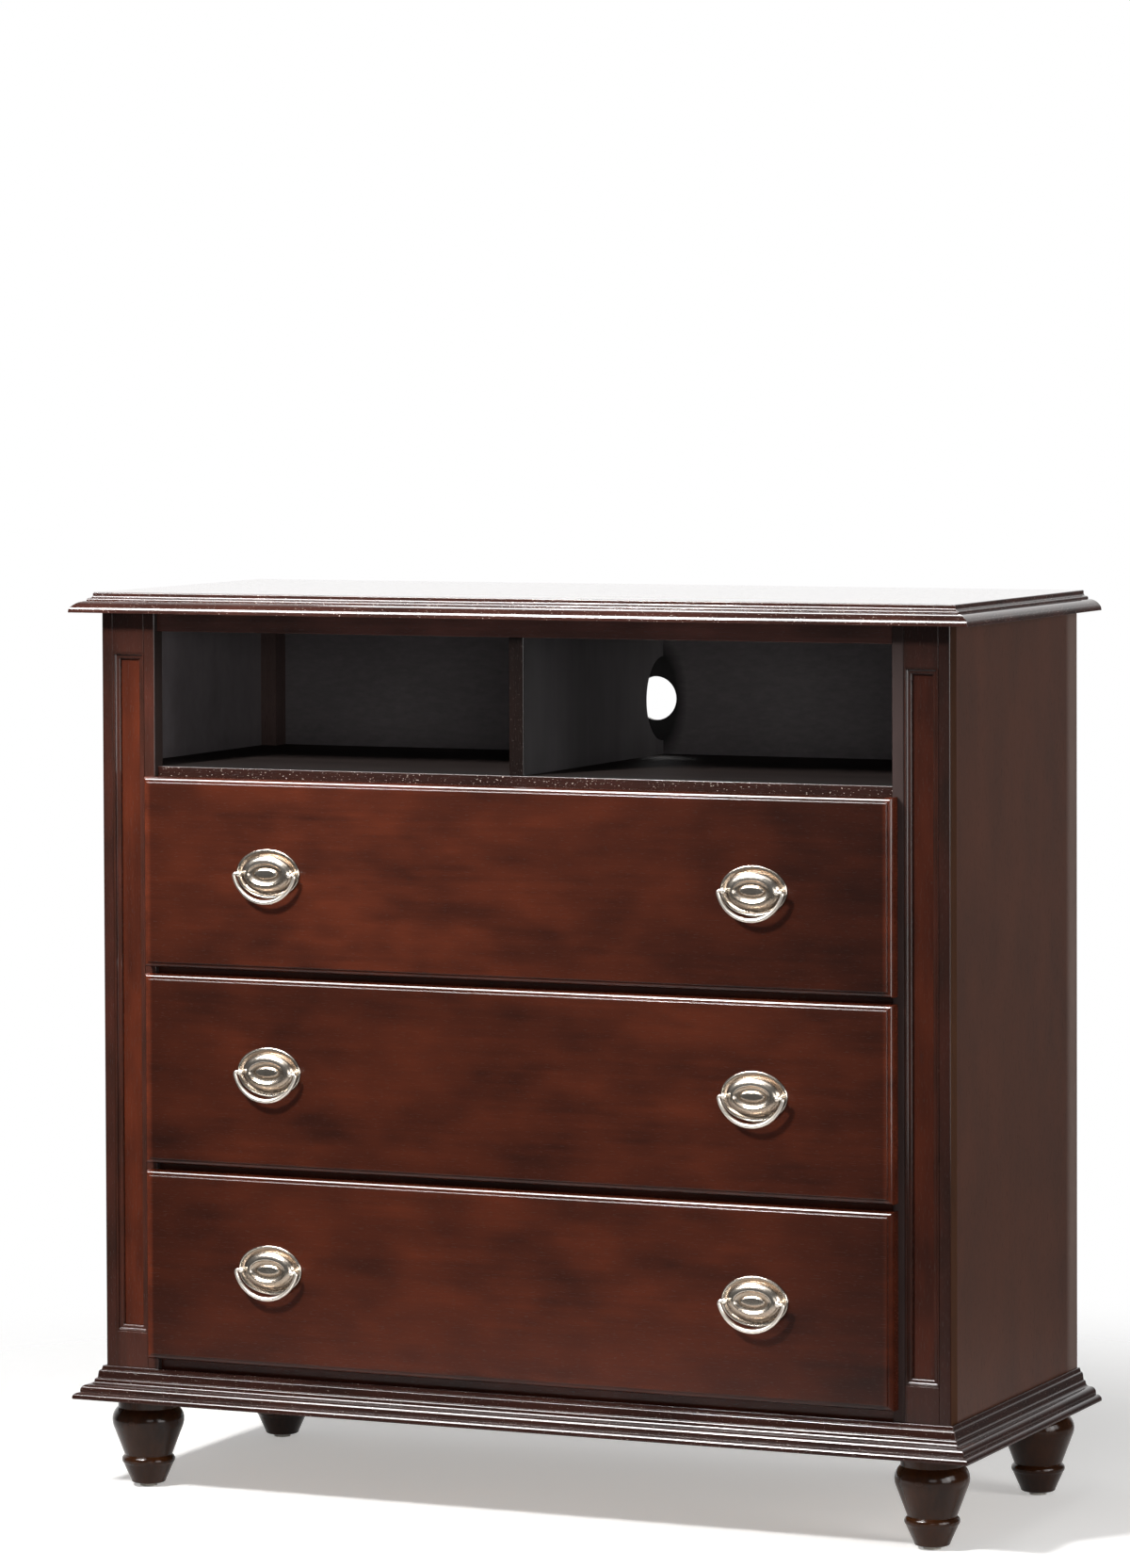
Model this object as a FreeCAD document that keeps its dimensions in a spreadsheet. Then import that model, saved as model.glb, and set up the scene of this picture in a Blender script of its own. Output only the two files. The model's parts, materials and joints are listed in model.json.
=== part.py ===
"""A media chest: two open cubbies over three drawers, on turned feet. Millimetres, front towards -Y, +Z up.

The origin lies on the floor, in the middle of the chest's outer box.
"""
import FreeCAD
import Part
import Sketcher
import math
import os
import re

SIZES = {
    # Case
    "overall_height": 1046,
    "case_width": 1048,
    "case_depth": 420,
    "side_thickness": 12,
    "board_thickness": 18,
    "edge_ease": 1,
    # Top and its moulded edge
    "top_thickness": 23,
    "top_overhang_side": 30,
    "top_overhang_front": 27,
    "top_lip": 1,
    "top_nose": 8,
    "top_run": 16,
    "top_rise": 12,
    "top_bead": 2.5,
    "top_cove": 3,
    "top_riser": 2,
    "top_round": 1.5,
    # Front rails, cubbies and back
    "rail_setback": 8,
    "top_rail_height": 22,
    "cubby_height": 156,
    "back_thickness": 6,
    "back_inset": 3,
    "rear_post_width": 20,
    "rear_post_depth": 26,
    "housing_depth": 5,
    "cable_hole_radius": 26,
    "cable_hole_rise": 66,
    "cable_notch_radius": 50,
    # Pilasters
    "pilaster_width": 68,
    "pilaster_thickness": 20,
    "pilaster_strip": 14,
    "pilaster_round": 1.5,
    "pilaster_head": 46.5,
    "pilaster_foot": 41,
    "panel_depth": 7,
    "bead_ease": 0.5,
    "bead_ledge": 1.5,
    "bead_round": 3,
    "bead_foot": 1.6,
    "bead_toe": 1,
    # Base moulding
    "base_height": 37,
    "base_overhang": 30,
    "base_lip": 1.5,
    "base_ovolo": 5.5,
    "base_ledge": 1.5,
    "base_step": 2.5,
    "base_wave": 6.5,
    "base_cove": 4.5,
    "base_round": 2.5,
    "base_batter": 1,
    "base_bead": 2.5,
    "base_fillet": 4.7,
    "base_edge": 1,
    "base_rail_drop": 2,
    # Feet
    "foot_height": 107,
    "foot_inset": 35.5,
    "foot_neck": 35.2,
    "foot_neck_height": 14,
    "foot_bulge": 42,
    "foot_bulge_drop": 28.5,
    "foot_shoulder": 40.2,
    "foot_shoulder_drop": 37.5,
    "foot_ankle": 27.7,
    "foot_ankle_rise": 36.5,
    "foot_rim": 29.5,
    "foot_ring_height": 9.5,
    "foot_ring_round": 6,
    "foot_toe": 20.5,
    "foot_toe_round": 3,
    "glide_radius": 10,
    "glide_height": 4,
    "bolt_radius": 4,
    "bolt_length": 48,
    "bolt_clearance": 0.1,
    # Drawer fronts
    "shelf_reveal": 11,
    "base_reveal": 14,
    "front_spacing": 8,
    "front_overlay": 6.5,
    "front_thickness": 19,
    "front_gap": 0.5,
    "front_round": 5,
    "front_ledge": 0.8,
    "front_step": 2,
    "front_ease": 1,
    # Drawer boxes and what they run on
    "rail_overlap": 6,
    "rail_thickness": 20,
    "rail_depth": 60,
    "rear_rail_depth": 40,
    "box_board": 12,
    "box_side_gap": 3,
    "box_headroom": 24,
    "box_rear_space": 30,
    "box_back_drop": 8,
    "pin_wood": 10,
    "tail_flare": 2,
    "tail_clearance": 0.1,
    "bottom_thickness": 4,
    "bottom_rise": 9,
    "groove_depth": 6,
    "groove_clearance": 0.2,
    "tack_radius": 6,
    "tack_height": 2,
    "running_gap": 0.3,
    "track_width": 30,
    "track_height": 9,
    "track_wall": 1.2,
    "track_slot": 14,
    "track_setback": 8,
    "guide_gap": 0.4,
    "guide_width": 44,
    "guide_rise": 45,
    "guide_length": 16,
    # Pulls
    "pull_spread": 300,
    "pull_rise": 3,
    "plate_half_width": 40,
    "plate_half_height": 28.2,
    "plate_edge": 1,
    "rim_radius": 1.3,
    "groove_width": 4.4,
    "groove_level": 1.6,
    "dome_width": 11,
    "dome_height": 9,
    "bowl_width": 7,
    "bowl_level": 6,
    "boss_width": 4,
    "boss_height": 8,
    "boss_half_height": 2.7,
    "post_inset": 8,
    "pivot_standoff": 11.5,
    "post_shank_radius": 2.9,
    "post_head_radius": 3.4,
    "pin_radius": 1.5,
    "pin_clearance": 0.06,
    "pin_length": 5.8,
    "bail_radius": 2.5,
    "bail_end_radius": 1.9,
    "bail_bend": 2.6,
    "bail_plate_gap": 1.6,
    "bail_post_gap": 0.3,
    "screw_radius": 1.9,
    "screw_depth": 6,
    "screw_clearance": 0.1,
    "screw_head_radius": 4,
    "screw_head_height": 2.4,
}

# Dovetails at each end of a drawer side
TAILS = 5

# Counts that set how finely the plate's curves are stepped
RIM_STEPS = 4
DOME_STEPS = 6
BOWL_STEPS = 4
BOSS_STEPS = 4

doc = FreeCAD.newDocument("media_chest")
sheet = doc.addObject("Spreadsheet::Sheet", "Sizes")
for row, (alias, size) in enumerate(SIZES.items(), start=1):
    sheet.set(f"A{row}", alias)
    sheet.set(f"B{row}", str(size))
    sheet.setAlias(f"B{row}", alias)
doc.recompute()

SIZE_NAME = re.compile(r"\b(" + "|".join(SIZES) + r")\b")
NODES = {}


def formula(text):
    """Turns the size names in a text into references to the sheet."""
    return SIZE_NAME.sub(r"Sizes.\1", text)


def number(text):
    """The value of a text at the sheet's present sizes."""
    return float(sheet.evalExpression(formula(text)))


def bind(item, prop, text):
    """Ties one property of an object to the sheet."""
    item.setExpression(prop, formula(text))


def place(item, at):
    """Ties an object's place to the sheet."""
    for axis, text in zip("xyz", at):
        bind(item, f"Placement.Base.{axis}", text)
    return item


def node(label, item, solids=1):
    """Keeps a finished piece under its own name, with the number of solids that it should have."""
    item.Label = label
    NODES[label] = (item, solids)
    return item


def board(label, x, y, z):
    """A square-edged board between two planes on each axis."""
    item = doc.addObject("Part::Box", label)
    for prop, (low, high) in zip(("Length", "Width", "Height"), (x, y, z)):
        bind(item, prop, f"{high} - ({low})")
    return place(item, [low for low, high in (x, y, z)])


def rod(label, radius, length, at, turn=None):
    """A round rod from a point along +Z, or along the direction that the turn gives it."""
    item = doc.addObject("Part::Cylinder", label)
    if turn:
        item.Placement.Rotation = turn
    bind(item, "Radius", radius)
    bind(item, "Height", length)
    return place(item, at)


ALONG_X = FreeCAD.Rotation(FreeCAD.Vector(0, 1, 0), 90)
ALONG_Y = FreeCAD.Rotation(FreeCAD.Vector(1, 0, 0), -90)
UPRIGHT = FreeCAD.Rotation(FreeCAD.Vector(1, 0, 0), 90)


def boolean(kind, label, base, tool):
    """A cut, fuse or common of two objects."""
    item = doc.addObject(f"Part::{kind}", label)
    item.Base = base
    item.Tool = tool
    return item


def group(label, pieces):
    """Separate solids kept together."""
    item = doc.addObject("Part::Compound", label)
    item.Links = pieces
    return item


def arc_between(begin, finish, radius, turn):
    """The short arc between two points; turn 1 runs counter-clockwise from begin, -1 clockwise."""
    chord = finish - begin
    reach = math.sqrt(max(radius ** 2 - (chord.Length / 2) ** 2, 0))
    left = FreeCAD.Vector(-chord.y, chord.x, 0).normalize()
    centre = (begin + finish) / 2 + left * (reach * turn)
    first, last = (begin, finish) if turn > 0 else (finish, begin)
    angles = [math.atan2(point.y - centre.y, point.x - centre.x) for point in (first, last)]
    return Part.ArcOfCircle(Part.Circle(centre, FreeCAD.Vector(0, 0, 1), radius), *angles)


def outline(sketch, steps, closed=True):
    """Draws an outline and ties every corner to the sheet.

    A step (u, v) is a straight run to that corner, and a step (u, v, radius, turn) is an arc to it.
    An open outline starts at its first step.
    """
    corners = [FreeCAD.Vector(number(step[0]), number(step[1]), 0) for step in steps]
    first = 0 if closed else 1
    runs = []
    for index in range(first, len(steps)):
        begin, finish = corners[index - 1], corners[index]
        if len(steps[index]) == 2:
            runs.append((sketch.addGeometry(Part.LineSegment(begin, finish)), 1, 2))
        else:
            radius, turn = steps[index][2:]
            arc = sketch.addGeometry(arc_between(begin, finish, number(radius), turn))
            runs.append((arc, 1, 2) if turn > 0 else (arc, 2, 1))
    rules = []
    for before, after in zip(runs, runs[1:] + runs[:first == 0]):
        rules.append((Sketcher.Constraint("Coincident", before[0], before[2], after[0], after[1]), None))
    ends = [(run[0], run[2], step) for run, step in zip(runs, steps[first:])]
    if not closed:
        ends.insert(0, (runs[0][0], runs[0][1], steps[0][:2]))
    for run, point, step in ends:
        for kind, text in zip(("DistanceX", "DistanceY"), step):
            rules.append((Sketcher.Constraint(kind, -1, 1, run, point, number(text)), text))
        if len(step) == 4:
            rules.append((Sketcher.Constraint("Radius", run, number(step[2])), step[2]))
    sketch.addConstraint([rule for rule, text in rules])
    for index, (rule, text) in enumerate(rules):
        if text:
            bind(sketch, f"Constraints[{index}]", text)


def body_with_sketch(label, plane, steps):
    """A body with one closed sketch on one of its own origin planes."""
    body = doc.addObject("PartDesign::Body", label)
    sketch = body.newObject("Sketcher::SketchObject", f"{label}_outline")
    support = next(item for item in body.Origin.OriginFeatures if item.Role == f"{plane}_Plane")
    sketch.AttachmentSupport = (support, [""])
    sketch.MapMode = "FlatFace"
    outline(sketch, steps)
    return body, sketch


def prism(label, plane, steps, length, at=("0", "0", "0")):
    """An outline on one plane, drawn out towards the third axis from the given place."""
    body, sketch = body_with_sketch(label, plane, steps)
    pad = body.newObject("PartDesign::Pad", f"{label}_pad")
    pad.Profile = sketch
    pad.Reversed = plane == "XZ"
    bind(pad, "Length", length)
    return place(body, at)


def turning(label, plane, steps, at):
    """An outline turned about the upright axis of its sketch."""
    body, sketch = body_with_sketch(label, plane, steps)
    turned = body.newObject("PartDesign::Revolution", f"{label}_turned")
    turned.Profile = sketch
    turned.ReferenceAxis = (sketch, ["V_Axis"])
    turned.Angle = 360
    return place(body, at)


def ease(body, chosen):
    """Rounds the edges of a body whose middle point passes a test."""
    doc.recompute()
    pad = body.Tip
    names = [f"Edge{index}" for index, edge in enumerate(pad.Shape.Edges, start=1)
             if chosen(edge.CenterOfMass)]
    rounding = body.newObject("PartDesign::Fillet", f"{body.Name}_eased")
    rounding.Base = (pad, names)
    bind(rounding, "Radius", "edge_ease")
    return body


def rising(edge, spot, turn):
    """An edge profile, from its first point to its last, set out by a spot function."""
    return [spot(*step[:2]) + ((step[2], step[3] * turn) if len(step) == 4 else ()) for step in edge]


def falling(edge, spot, turn):
    """The same edge profile run backwards."""
    steps = [spot(*edge[-1][:2])]
    for step, before in zip(edge[:0:-1], edge[-2::-1]):
        steps.append(spot(*before[:2]) + ((step[2], -step[3] * turn) if len(step) == 4 else ()))
    return steps


def flipped(steps):
    """The mirror image of an outline across its upright axis."""
    return [(f"-({step[0]})", step[1]) + ((step[2], -step[3]) if len(step) == 4 else ()) for step in steps]


def swell(width, height):
    """Radius of an arc that leaves its first point upright and ends that far across and away."""
    return f"((({width}) ^ 2 + ({height}) ^ 2) / (2 * ({width})))"


def sided(side, low, high):
    """A span on the right, or its mirror image on the left."""
    return (low, high) if side == "right" else (f"-({high})", f"-({low})")


SIDES = ("left", "right")
DRAWERS = ("top", "middle", "bottom")
LOWEST = len(DRAWERS) - 1

# Planes that the pieces share
PULL_REACH = "(front_gap + front_thickness + pivot_standoff + post_head_radius)"
FOOT_REACH = "(foot_bulge - foot_inset)"
BACK = f"((case_depth + {PULL_REACH} - {FOOT_REACH}) / 2)"
FRONT = f"({BACK} - case_depth)"
HALF = "(case_width / 2)"
INSIDE = "(case_width / 2 - side_thickness)"
OPENING = "(case_width / 2 - pilaster_width)"
PILASTER_BACK = f"({FRONT} + pilaster_thickness)"
RAIL_FACE = f"({FRONT} + rail_setback)"
PANEL_FACE = f"({BACK} - back_inset - back_thickness)"
TOP_UNDER = "(overall_height - top_thickness)"
BASE_TOP = "(foot_height + base_height)"
DECK_TOP = "(foot_height + board_thickness)"
RAIL_UNDER = f"({TOP_UNDER} - top_rail_height)"
SHELF_TOP = f"({RAIL_UNDER} - cubby_height)"
SHELF_UNDER = f"({SHELF_TOP} - board_thickness)"
FRONTS_SPACE = f"({SHELF_TOP} - shelf_reveal - {BASE_TOP} - base_reveal)"
FRONT_HEIGHT = f"(({FRONTS_SPACE} - {LOWEST} * front_spacing) / {len(DRAWERS)})"
CABLE_LEVEL = f"({SHELF_TOP} + cable_hole_rise)"
POST_FACE = f"({PANEL_FACE} - rear_post_depth)"
POST_INSIDE = f"({INSIDE} - rear_post_width)"
FRONT_BACK = f"({FRONT} - front_gap)"
FRONT_FACE = f"({FRONT_BACK} - front_thickness)"
FRONT_HALF = f"({OPENING} + front_overlay)"
BOX_HALF = f"({OPENING} - box_side_gap)"
BOX_INSIDE = f"({BOX_HALF} - box_board)"
BOX_BACK = f"({PANEL_FACE} - box_rear_space)"


def front_low(tier):
    """Lower edge of a drawer front, counted from the top drawer."""
    return f"({BASE_TOP} + base_reveal + {LOWEST - tier} * ({FRONT_HEIGHT} + front_spacing))"


def rail_top(tier):
    """Upper face of the rail that a drawer runs over."""
    return f"({front_low(tier)} + rail_overlap)"


def box_low(tier):
    """Lower edge of a drawer box."""
    return f"({rail_top(tier)} + tack_height + running_gap)"


BOX_LOSS = "(rail_thickness + tack_height + running_gap + box_headroom)"
BOX_HEIGHT = f"({FRONT_HEIGHT} + front_spacing - {BOX_LOSS})"
POST_SPREAD = "(plate_half_width - post_inset)"


def top_panel():
    """The top: its edge profile, an oval nose under a bead and cove, is mitred round front and sides."""
    crown = "((top_run ^ 2 + top_rise ^ 2 - 2 * top_run * top_nose) / (2 * (top_rise - top_nose)))"
    spread = f"({crown} - top_nose)"
    nose_in = f"(top_nose * (1 - (top_run - top_nose) / {spread}))"
    nose_top = f"(top_lip + top_nose * ({crown} - top_rise) / {spread})"
    cove_low = "(top_thickness - top_round - top_riser - top_cove)"
    cove_in = "(top_run + top_bead + top_cove)"
    edge = [
        ("0", "0"),
        ("0", "top_lip"),
        (nose_in, nose_top, "top_nose", -1),
        ("top_run", "top_lip + top_rise", crown, -1),
        ("top_run", f"{cove_low} - top_bead"),
        ("top_run + top_bead", cove_low, "top_bead", -1),
        (cove_in, f"{cove_low} + top_cove", "top_cove", 1),
        (cove_in, "top_thickness - top_round"),
        (f"{cove_in} + top_round", "top_thickness", "top_round", -1),
    ]
    lip_half = f"({HALF} + top_overhang_side)"
    lip_front = f"({FRONT} - top_overhang_front)"
    along = rising(edge, lambda d, h: (f"{lip_front} + {d}", f"{TOP_UNDER} + {h}"), 1)
    along += [(BACK, "overall_height"), (BACK, TOP_UNDER)]
    across = rising(edge, lambda d, h: (f"-{lip_half} + {d}", f"{TOP_UNDER} + {h}"), 1)
    across += falling(edge, lambda d, h: (f"{lip_half} - ({d})", f"{TOP_UNDER} + {h}"), -1)
    front_edge = prism("top_front_section", "YZ", along, f"2 * {lip_half}", (f"-{lip_half}", "0", "0"))
    depth = f"{BACK} - {lip_front}"
    side_edges = prism("top_side_section", "XZ", across, depth, ("0", lip_front, "0"))
    node("top_panel", boolean("Common", "top_panel", front_edge, side_edges))


def case_boards():
    """Side panels, deck, back and the frame behind the drawers."""
    upright = ("foot_height", TOP_UNDER)
    for side in SIDES:
        span = sided(side, INSIDE, HALF)
        node(f"side_panel_{side}", board(f"side_panel_{side}", span, (PILASTER_BACK, BACK), upright))
    posts = [board(f"rear_post_{side}", sided(side, POST_INSIDE, INSIDE), (POST_FACE, PANEL_FACE),
                   (DECK_TOP, TOP_UNDER)) for side in SIDES]
    node("rear_posts", group("rear_posts", posts), 2)
    rails = [board(f"rear_rail_{name}", (f"-{POST_INSIDE}", POST_INSIDE),
                   (f"{PANEL_FACE} - rear_rail_depth", PANEL_FACE),
                   (f"{rail_top(tier)} - rail_thickness", rail_top(tier)))
             for tier, name in enumerate(DRAWERS)]
    node("rear_rails", group("rear_rails", rails), 3)
    sheet_stock = board("back_sheet", (f"-{INSIDE}", INSIDE),
                        (PANEL_FACE, f"{PANEL_FACE} + back_thickness"), upright)
    hole = rod("cable_hole", "cable_hole_radius", "back_thickness", ("0", PANEL_FACE, CABLE_LEVEL), ALONG_Y)
    node("back_panel", boolean("Cut", "back_panel", sheet_stock, hole))
    right = [(OPENING, FRONT), (OPENING, PILASTER_BACK), (INSIDE, PILASTER_BACK), (INSIDE, PANEL_FACE)]
    deck = prism("deck", "XY", right + flipped(right)[::-1], "board_thickness", ("0", "0", "foot_height"))
    holes = [rod(f"deck_hole_{index}", "bolt_radius + bolt_clearance", "board_thickness",
                 (x, y, "foot_height")) for index, (name, x, y) in enumerate(foot_places())]
    node("bottom_panel", boolean("Cut", "bottom_panel", deck, group("deck_holes", holes)))


def shelf_and_divider():
    """The cubby floor with its front lipping, and the upright housed in it that parts the cubbies."""
    right = [
        (INSIDE, PILASTER_BACK),
        (INSIDE, POST_FACE),
        (POST_INSIDE, POST_FACE),
        (POST_INSIDE, PANEL_FACE),
    ]
    blank = prism("shelf_blank", "XY", right + flipped(right)[::-1], "board_thickness",
                  ("0", "0", SHELF_UNDER))
    housing_floor = f"({SHELF_TOP} - housing_depth)"
    housing = board("shelf_housing", ("-board_thickness / 2", "board_thickness / 2"),
                    (PILASTER_BACK, PANEL_FACE), (housing_floor, SHELF_TOP))
    lipping = [
        (RAIL_FACE, f"{SHELF_UNDER} + edge_ease", "edge_ease", -1),
        (RAIL_FACE, f"{SHELF_TOP} - edge_ease"),
        (f"{RAIL_FACE} + edge_ease", SHELF_TOP, "edge_ease", -1),
        (PILASTER_BACK, SHELF_TOP),
        (PILASTER_BACK, SHELF_UNDER),
        (f"{RAIL_FACE} + edge_ease", SHELF_UNDER),
    ]
    floor = [boolean("Cut", "shelf_board", blank, housing),
             prism("shelf_lipping", "YZ", lipping, f"2 * {OPENING}", (f"-{OPENING}", "0", "0"))]
    node("media_shelf", group("media_shelf", floor), 2)
    rail_back = f"{RAIL_FACE} + board_thickness"
    notch_top, notch_low = (f"{CABLE_LEVEL} {sign} cable_notch_radius" for sign in "+-")
    upright = [
        (RAIL_FACE, SHELF_TOP),
        (RAIL_FACE, RAIL_UNDER),
        (rail_back, RAIL_UNDER),
        (rail_back, TOP_UNDER),
        (PANEL_FACE, TOP_UNDER),
        (PANEL_FACE, notch_top),
        (f"{PANEL_FACE} - cable_notch_radius", CABLE_LEVEL, "cable_notch_radius", 1),
        (PANEL_FACE, notch_low, "cable_notch_radius", 1),
        (PANEL_FACE, housing_floor),
        (PILASTER_BACK, housing_floor),
        (PILASTER_BACK, SHELF_TOP),
    ]
    divider = prism("shelf_divider", "YZ", upright, "board_thickness", ("-board_thickness / 2", "0", "0"))
    face, middle_level = number(RAIL_FACE), number(f"({SHELF_TOP} + {RAIL_UNDER}) / 2")
    node("shelf_divider", ease(divider, lambda middle: abs(middle.y - face) < 0.01
                               and abs(middle.z - middle_level) < 0.01))


def front_rails():
    """The rails across the front, between the pilasters."""
    span = (f"2 * {OPENING}", (f"-{OPENING}", "0", "0"))
    rail_back = f"{RAIL_FACE} + board_thickness"
    top = [
        (RAIL_FACE, TOP_UNDER),
        (RAIL_FACE, f"{RAIL_UNDER} + edge_ease"),
        (f"{RAIL_FACE} + edge_ease", RAIL_UNDER, "edge_ease", 1),
        (rail_back, RAIL_UNDER),
        (rail_back, TOP_UNDER),
    ]
    node("top_rail", prism("top_rail", "YZ", top, *span))
    rails = []
    for tier, name in enumerate(DRAWERS[:LOWEST]):
        level = (f"{rail_top(tier)} - rail_thickness", rail_top(tier))
        rails.append(board(f"drawer_rail_{name}", (f"-{OPENING}", OPENING),
                           (RAIL_FACE, f"{RAIL_FACE} + rail_depth"), level))
    node("drawer_rails", group("drawer_rails", rails), 2)
    ledge = f"{BASE_TOP} - base_rail_drop"
    low = [
        (FRONT, DECK_TOP),
        (FRONT, ledge),
        (RAIL_FACE, ledge),
        (RAIL_FACE, f"{rail_top(LOWEST)} - edge_ease"),
        (f"{RAIL_FACE} + edge_ease", rail_top(LOWEST), "edge_ease", -1),
        (rail_back, rail_top(LOWEST)),
        (rail_back, DECK_TOP),
    ]
    node("bottom_rail", prism("bottom_rail", "YZ", low, *span))


def pilasters():
    """Front corner frames, the panels sunk in them and the bead frames round the panels."""
    panel_level = (f"({BASE_TOP} + pilaster_foot)", f"({TOP_UNDER} - pilaster_head)")
    recess = (f"({OPENING} + pilaster_strip)", f"({HALF} - pilaster_strip)")
    panel_face = f"({FRONT} + panel_depth)"
    panels, beads = [], []
    for side in SIDES:
        span = sided(side, *recess)
        strips = []
        for name, low, high in (("inner", OPENING, recess[0]), ("outer", recess[1], HALF)):
            section = [
                (low, PILASTER_BACK),
                (low, f"{FRONT} + pilaster_round"),
                (f"{low} + pilaster_round", FRONT, "pilaster_round", 1),
                (f"{high} - pilaster_round", FRONT),
                (high, f"{FRONT} + pilaster_round", "pilaster_round", 1),
                (high, PILASTER_BACK),
            ]
            section = section if side == "right" else flipped(section)
            strips.append(prism(f"pilaster_{name}_strip_{side}", "XY", section,
                                f"{TOP_UNDER} - foot_height", ("0", "0", "foot_height")))
        for name, level in (("foot", ("foot_height", panel_level[0])), ("head", (panel_level[1], TOP_UNDER))):
            strips.append(board(f"pilaster_{name}_{side}", span, (FRONT, PILASTER_BACK), level))
        node(f"pilaster_{side}", group(f"pilaster_{side}", strips), 4)
        panels.append(board(f"pilaster_panel_{side}", span, (panel_face, PILASTER_BACK), panel_level))
        beads.append(bead_frame(side, span, panel_level, panel_face))
    node("pilaster_panels", group("pilaster_panels", panels), 2)
    node("pilaster_mouldings", group("pilaster_mouldings", beads), 2)


def bead_frame(side, span, level, panel_face):
    """A mitred bead round a sunk panel: a block less the stepped opening that the bead leaves."""
    ledge_in = "(bead_ease + bead_ledge)"
    round_low = "(bead_ease + bead_round)"
    foot_in = f"({ledge_in} + bead_round + bead_foot)"
    edge = [
        ("0", "0"),
        ("bead_ease", "bead_ease", "bead_ease", -1),
        (ledge_in, "bead_ease"),
        (f"{ledge_in} + bead_round", round_low, "bead_round", -1),
        (foot_in, round_low),
        (f"{foot_in} + bead_toe", f"{round_low} + bead_toe", "bead_toe", -1),
        (f"{foot_in} + bead_toe", "panel_depth"),
    ]
    across = rising(edge, lambda d, h: (f"{span[0]} + {d}", f"{FRONT} + {h}"), 1)
    across += falling(edge, lambda d, h: (f"{span[1]} - ({d})", f"{FRONT} + {h}"), -1)
    along = rising(edge, lambda d, h: (f"{FRONT} + {h}", f"{level[0]} + {d}"), -1)
    along += falling(edge, lambda d, h: (f"{FRONT} + {h}", f"{level[1]} - ({d})"), 1)
    tall = prism(f"bead_across_{side}", "XY", across, f"{level[1]} - {level[0]}", ("0", "0", level[0]))
    wide = prism(f"bead_along_{side}", "YZ", along, f"{span[1]} - ({span[0]})", (span[0], "0", "0"))
    gap = boolean("Common", f"bead_opening_{side}", tall, wide)
    block = board(f"bead_block_{side}", span, (FRONT, panel_face), level)
    return boolean("Cut", f"bead_frame_{side}", block, gap)


def base_mouldings():
    """The base moulding: one profile on the front and both sides, mitred at the front corners."""
    ledge_in = "(base_ovolo + base_ledge)"
    wave_low = "(base_lip + base_ovolo + base_step)"
    wave_in = f"({ledge_in} + base_wave)"
    wave_top = f"({wave_low} + base_wave)"
    cove_in = f"({wave_in} + base_ledge + base_cove)"
    cove_top = f"({wave_top} + base_cove)"
    bead_in = f"({cove_in} + base_round + base_batter + base_bead)"
    bead_top = "(base_height - base_fillet)"
    fillet_in = f"({bead_in} + base_batter)"
    edge = [
        ("0", "0"),
        ("0", "base_lip"),
        ("base_ovolo", "base_lip + base_ovolo", "base_ovolo", -1),
        (ledge_in, "base_lip + base_ovolo"),
        (ledge_in, wave_low),
        (wave_in, wave_top, "base_wave", -1),
        (f"{wave_in} + base_ledge", wave_top),
        (cove_in, cove_top, "base_cove", 1),
        (f"{cove_in} + base_round", f"{cove_top} + base_round", "base_round", -1),
        (f"{bead_in} - base_bead", f"{bead_top} - base_bead"),
        (bead_in, bead_top, "base_bead", -1),
        (fillet_in, "base_height - base_edge"),
        (f"{fillet_in} + base_edge", "base_height", "base_edge", -1),
        ("base_overhang", "base_height"),
        ("base_overhang", "0"),
    ]
    lip_half = f"({HALF} + base_overhang)"
    lip_front = f"({FRONT} - base_overhang)"
    depth = f"{BACK} - {lip_front}"
    along = rising(edge, lambda d, h: (f"{lip_front} + {d}", f"foot_height + {h}"), 1)
    strip = prism("base_front_strip", "YZ", along, f"2 * {lip_half}", (f"-{lip_half}", "0", "0"))
    corners = [(f"-{lip_half}", lip_front), (lip_half, lip_front), (HALF, FRONT), (f"-{HALF}", FRONT)]
    mitre = prism("base_front_mitre", "XY", corners, "base_height", ("0", "0", "foot_height"))
    node("base_moulding_front", boolean("Common", "base_moulding_front", strip, mitre))
    across = rising(edge, lambda d, h: (f"-{lip_half} + {d}", f"foot_height + {h}"), 1)
    corners = [(f"-{lip_half}", lip_front), (f"-{HALF}", FRONT), (f"-{HALF}", BACK), (f"-{lip_half}", BACK)]
    for side in SIDES:
        turn = flipped if side == "right" else list
        strip = prism(f"base_strip_{side}", "XZ", turn(across), depth, ("0", lip_front, "0"))
        mitre = prism(f"base_mitre_{side}", "XY", turn(corners), "base_height", ("0", "0", "foot_height"))
        node(f"base_moulding_{side}", boolean("Common", f"base_moulding_{side}", strip, mitre))


def foot_places():
    """Names and centres of the four feet."""
    reach = f"({HALF} - foot_inset)"
    places = []
    for row_name, y in (("front", f"{FRONT} + foot_inset"), ("rear", f"{BACK} - foot_inset")):
        for side in SIDES:
            places.append((f"{row_name}_{side}", reach if side == "right" else f"-{reach}", y))
    return places


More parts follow.
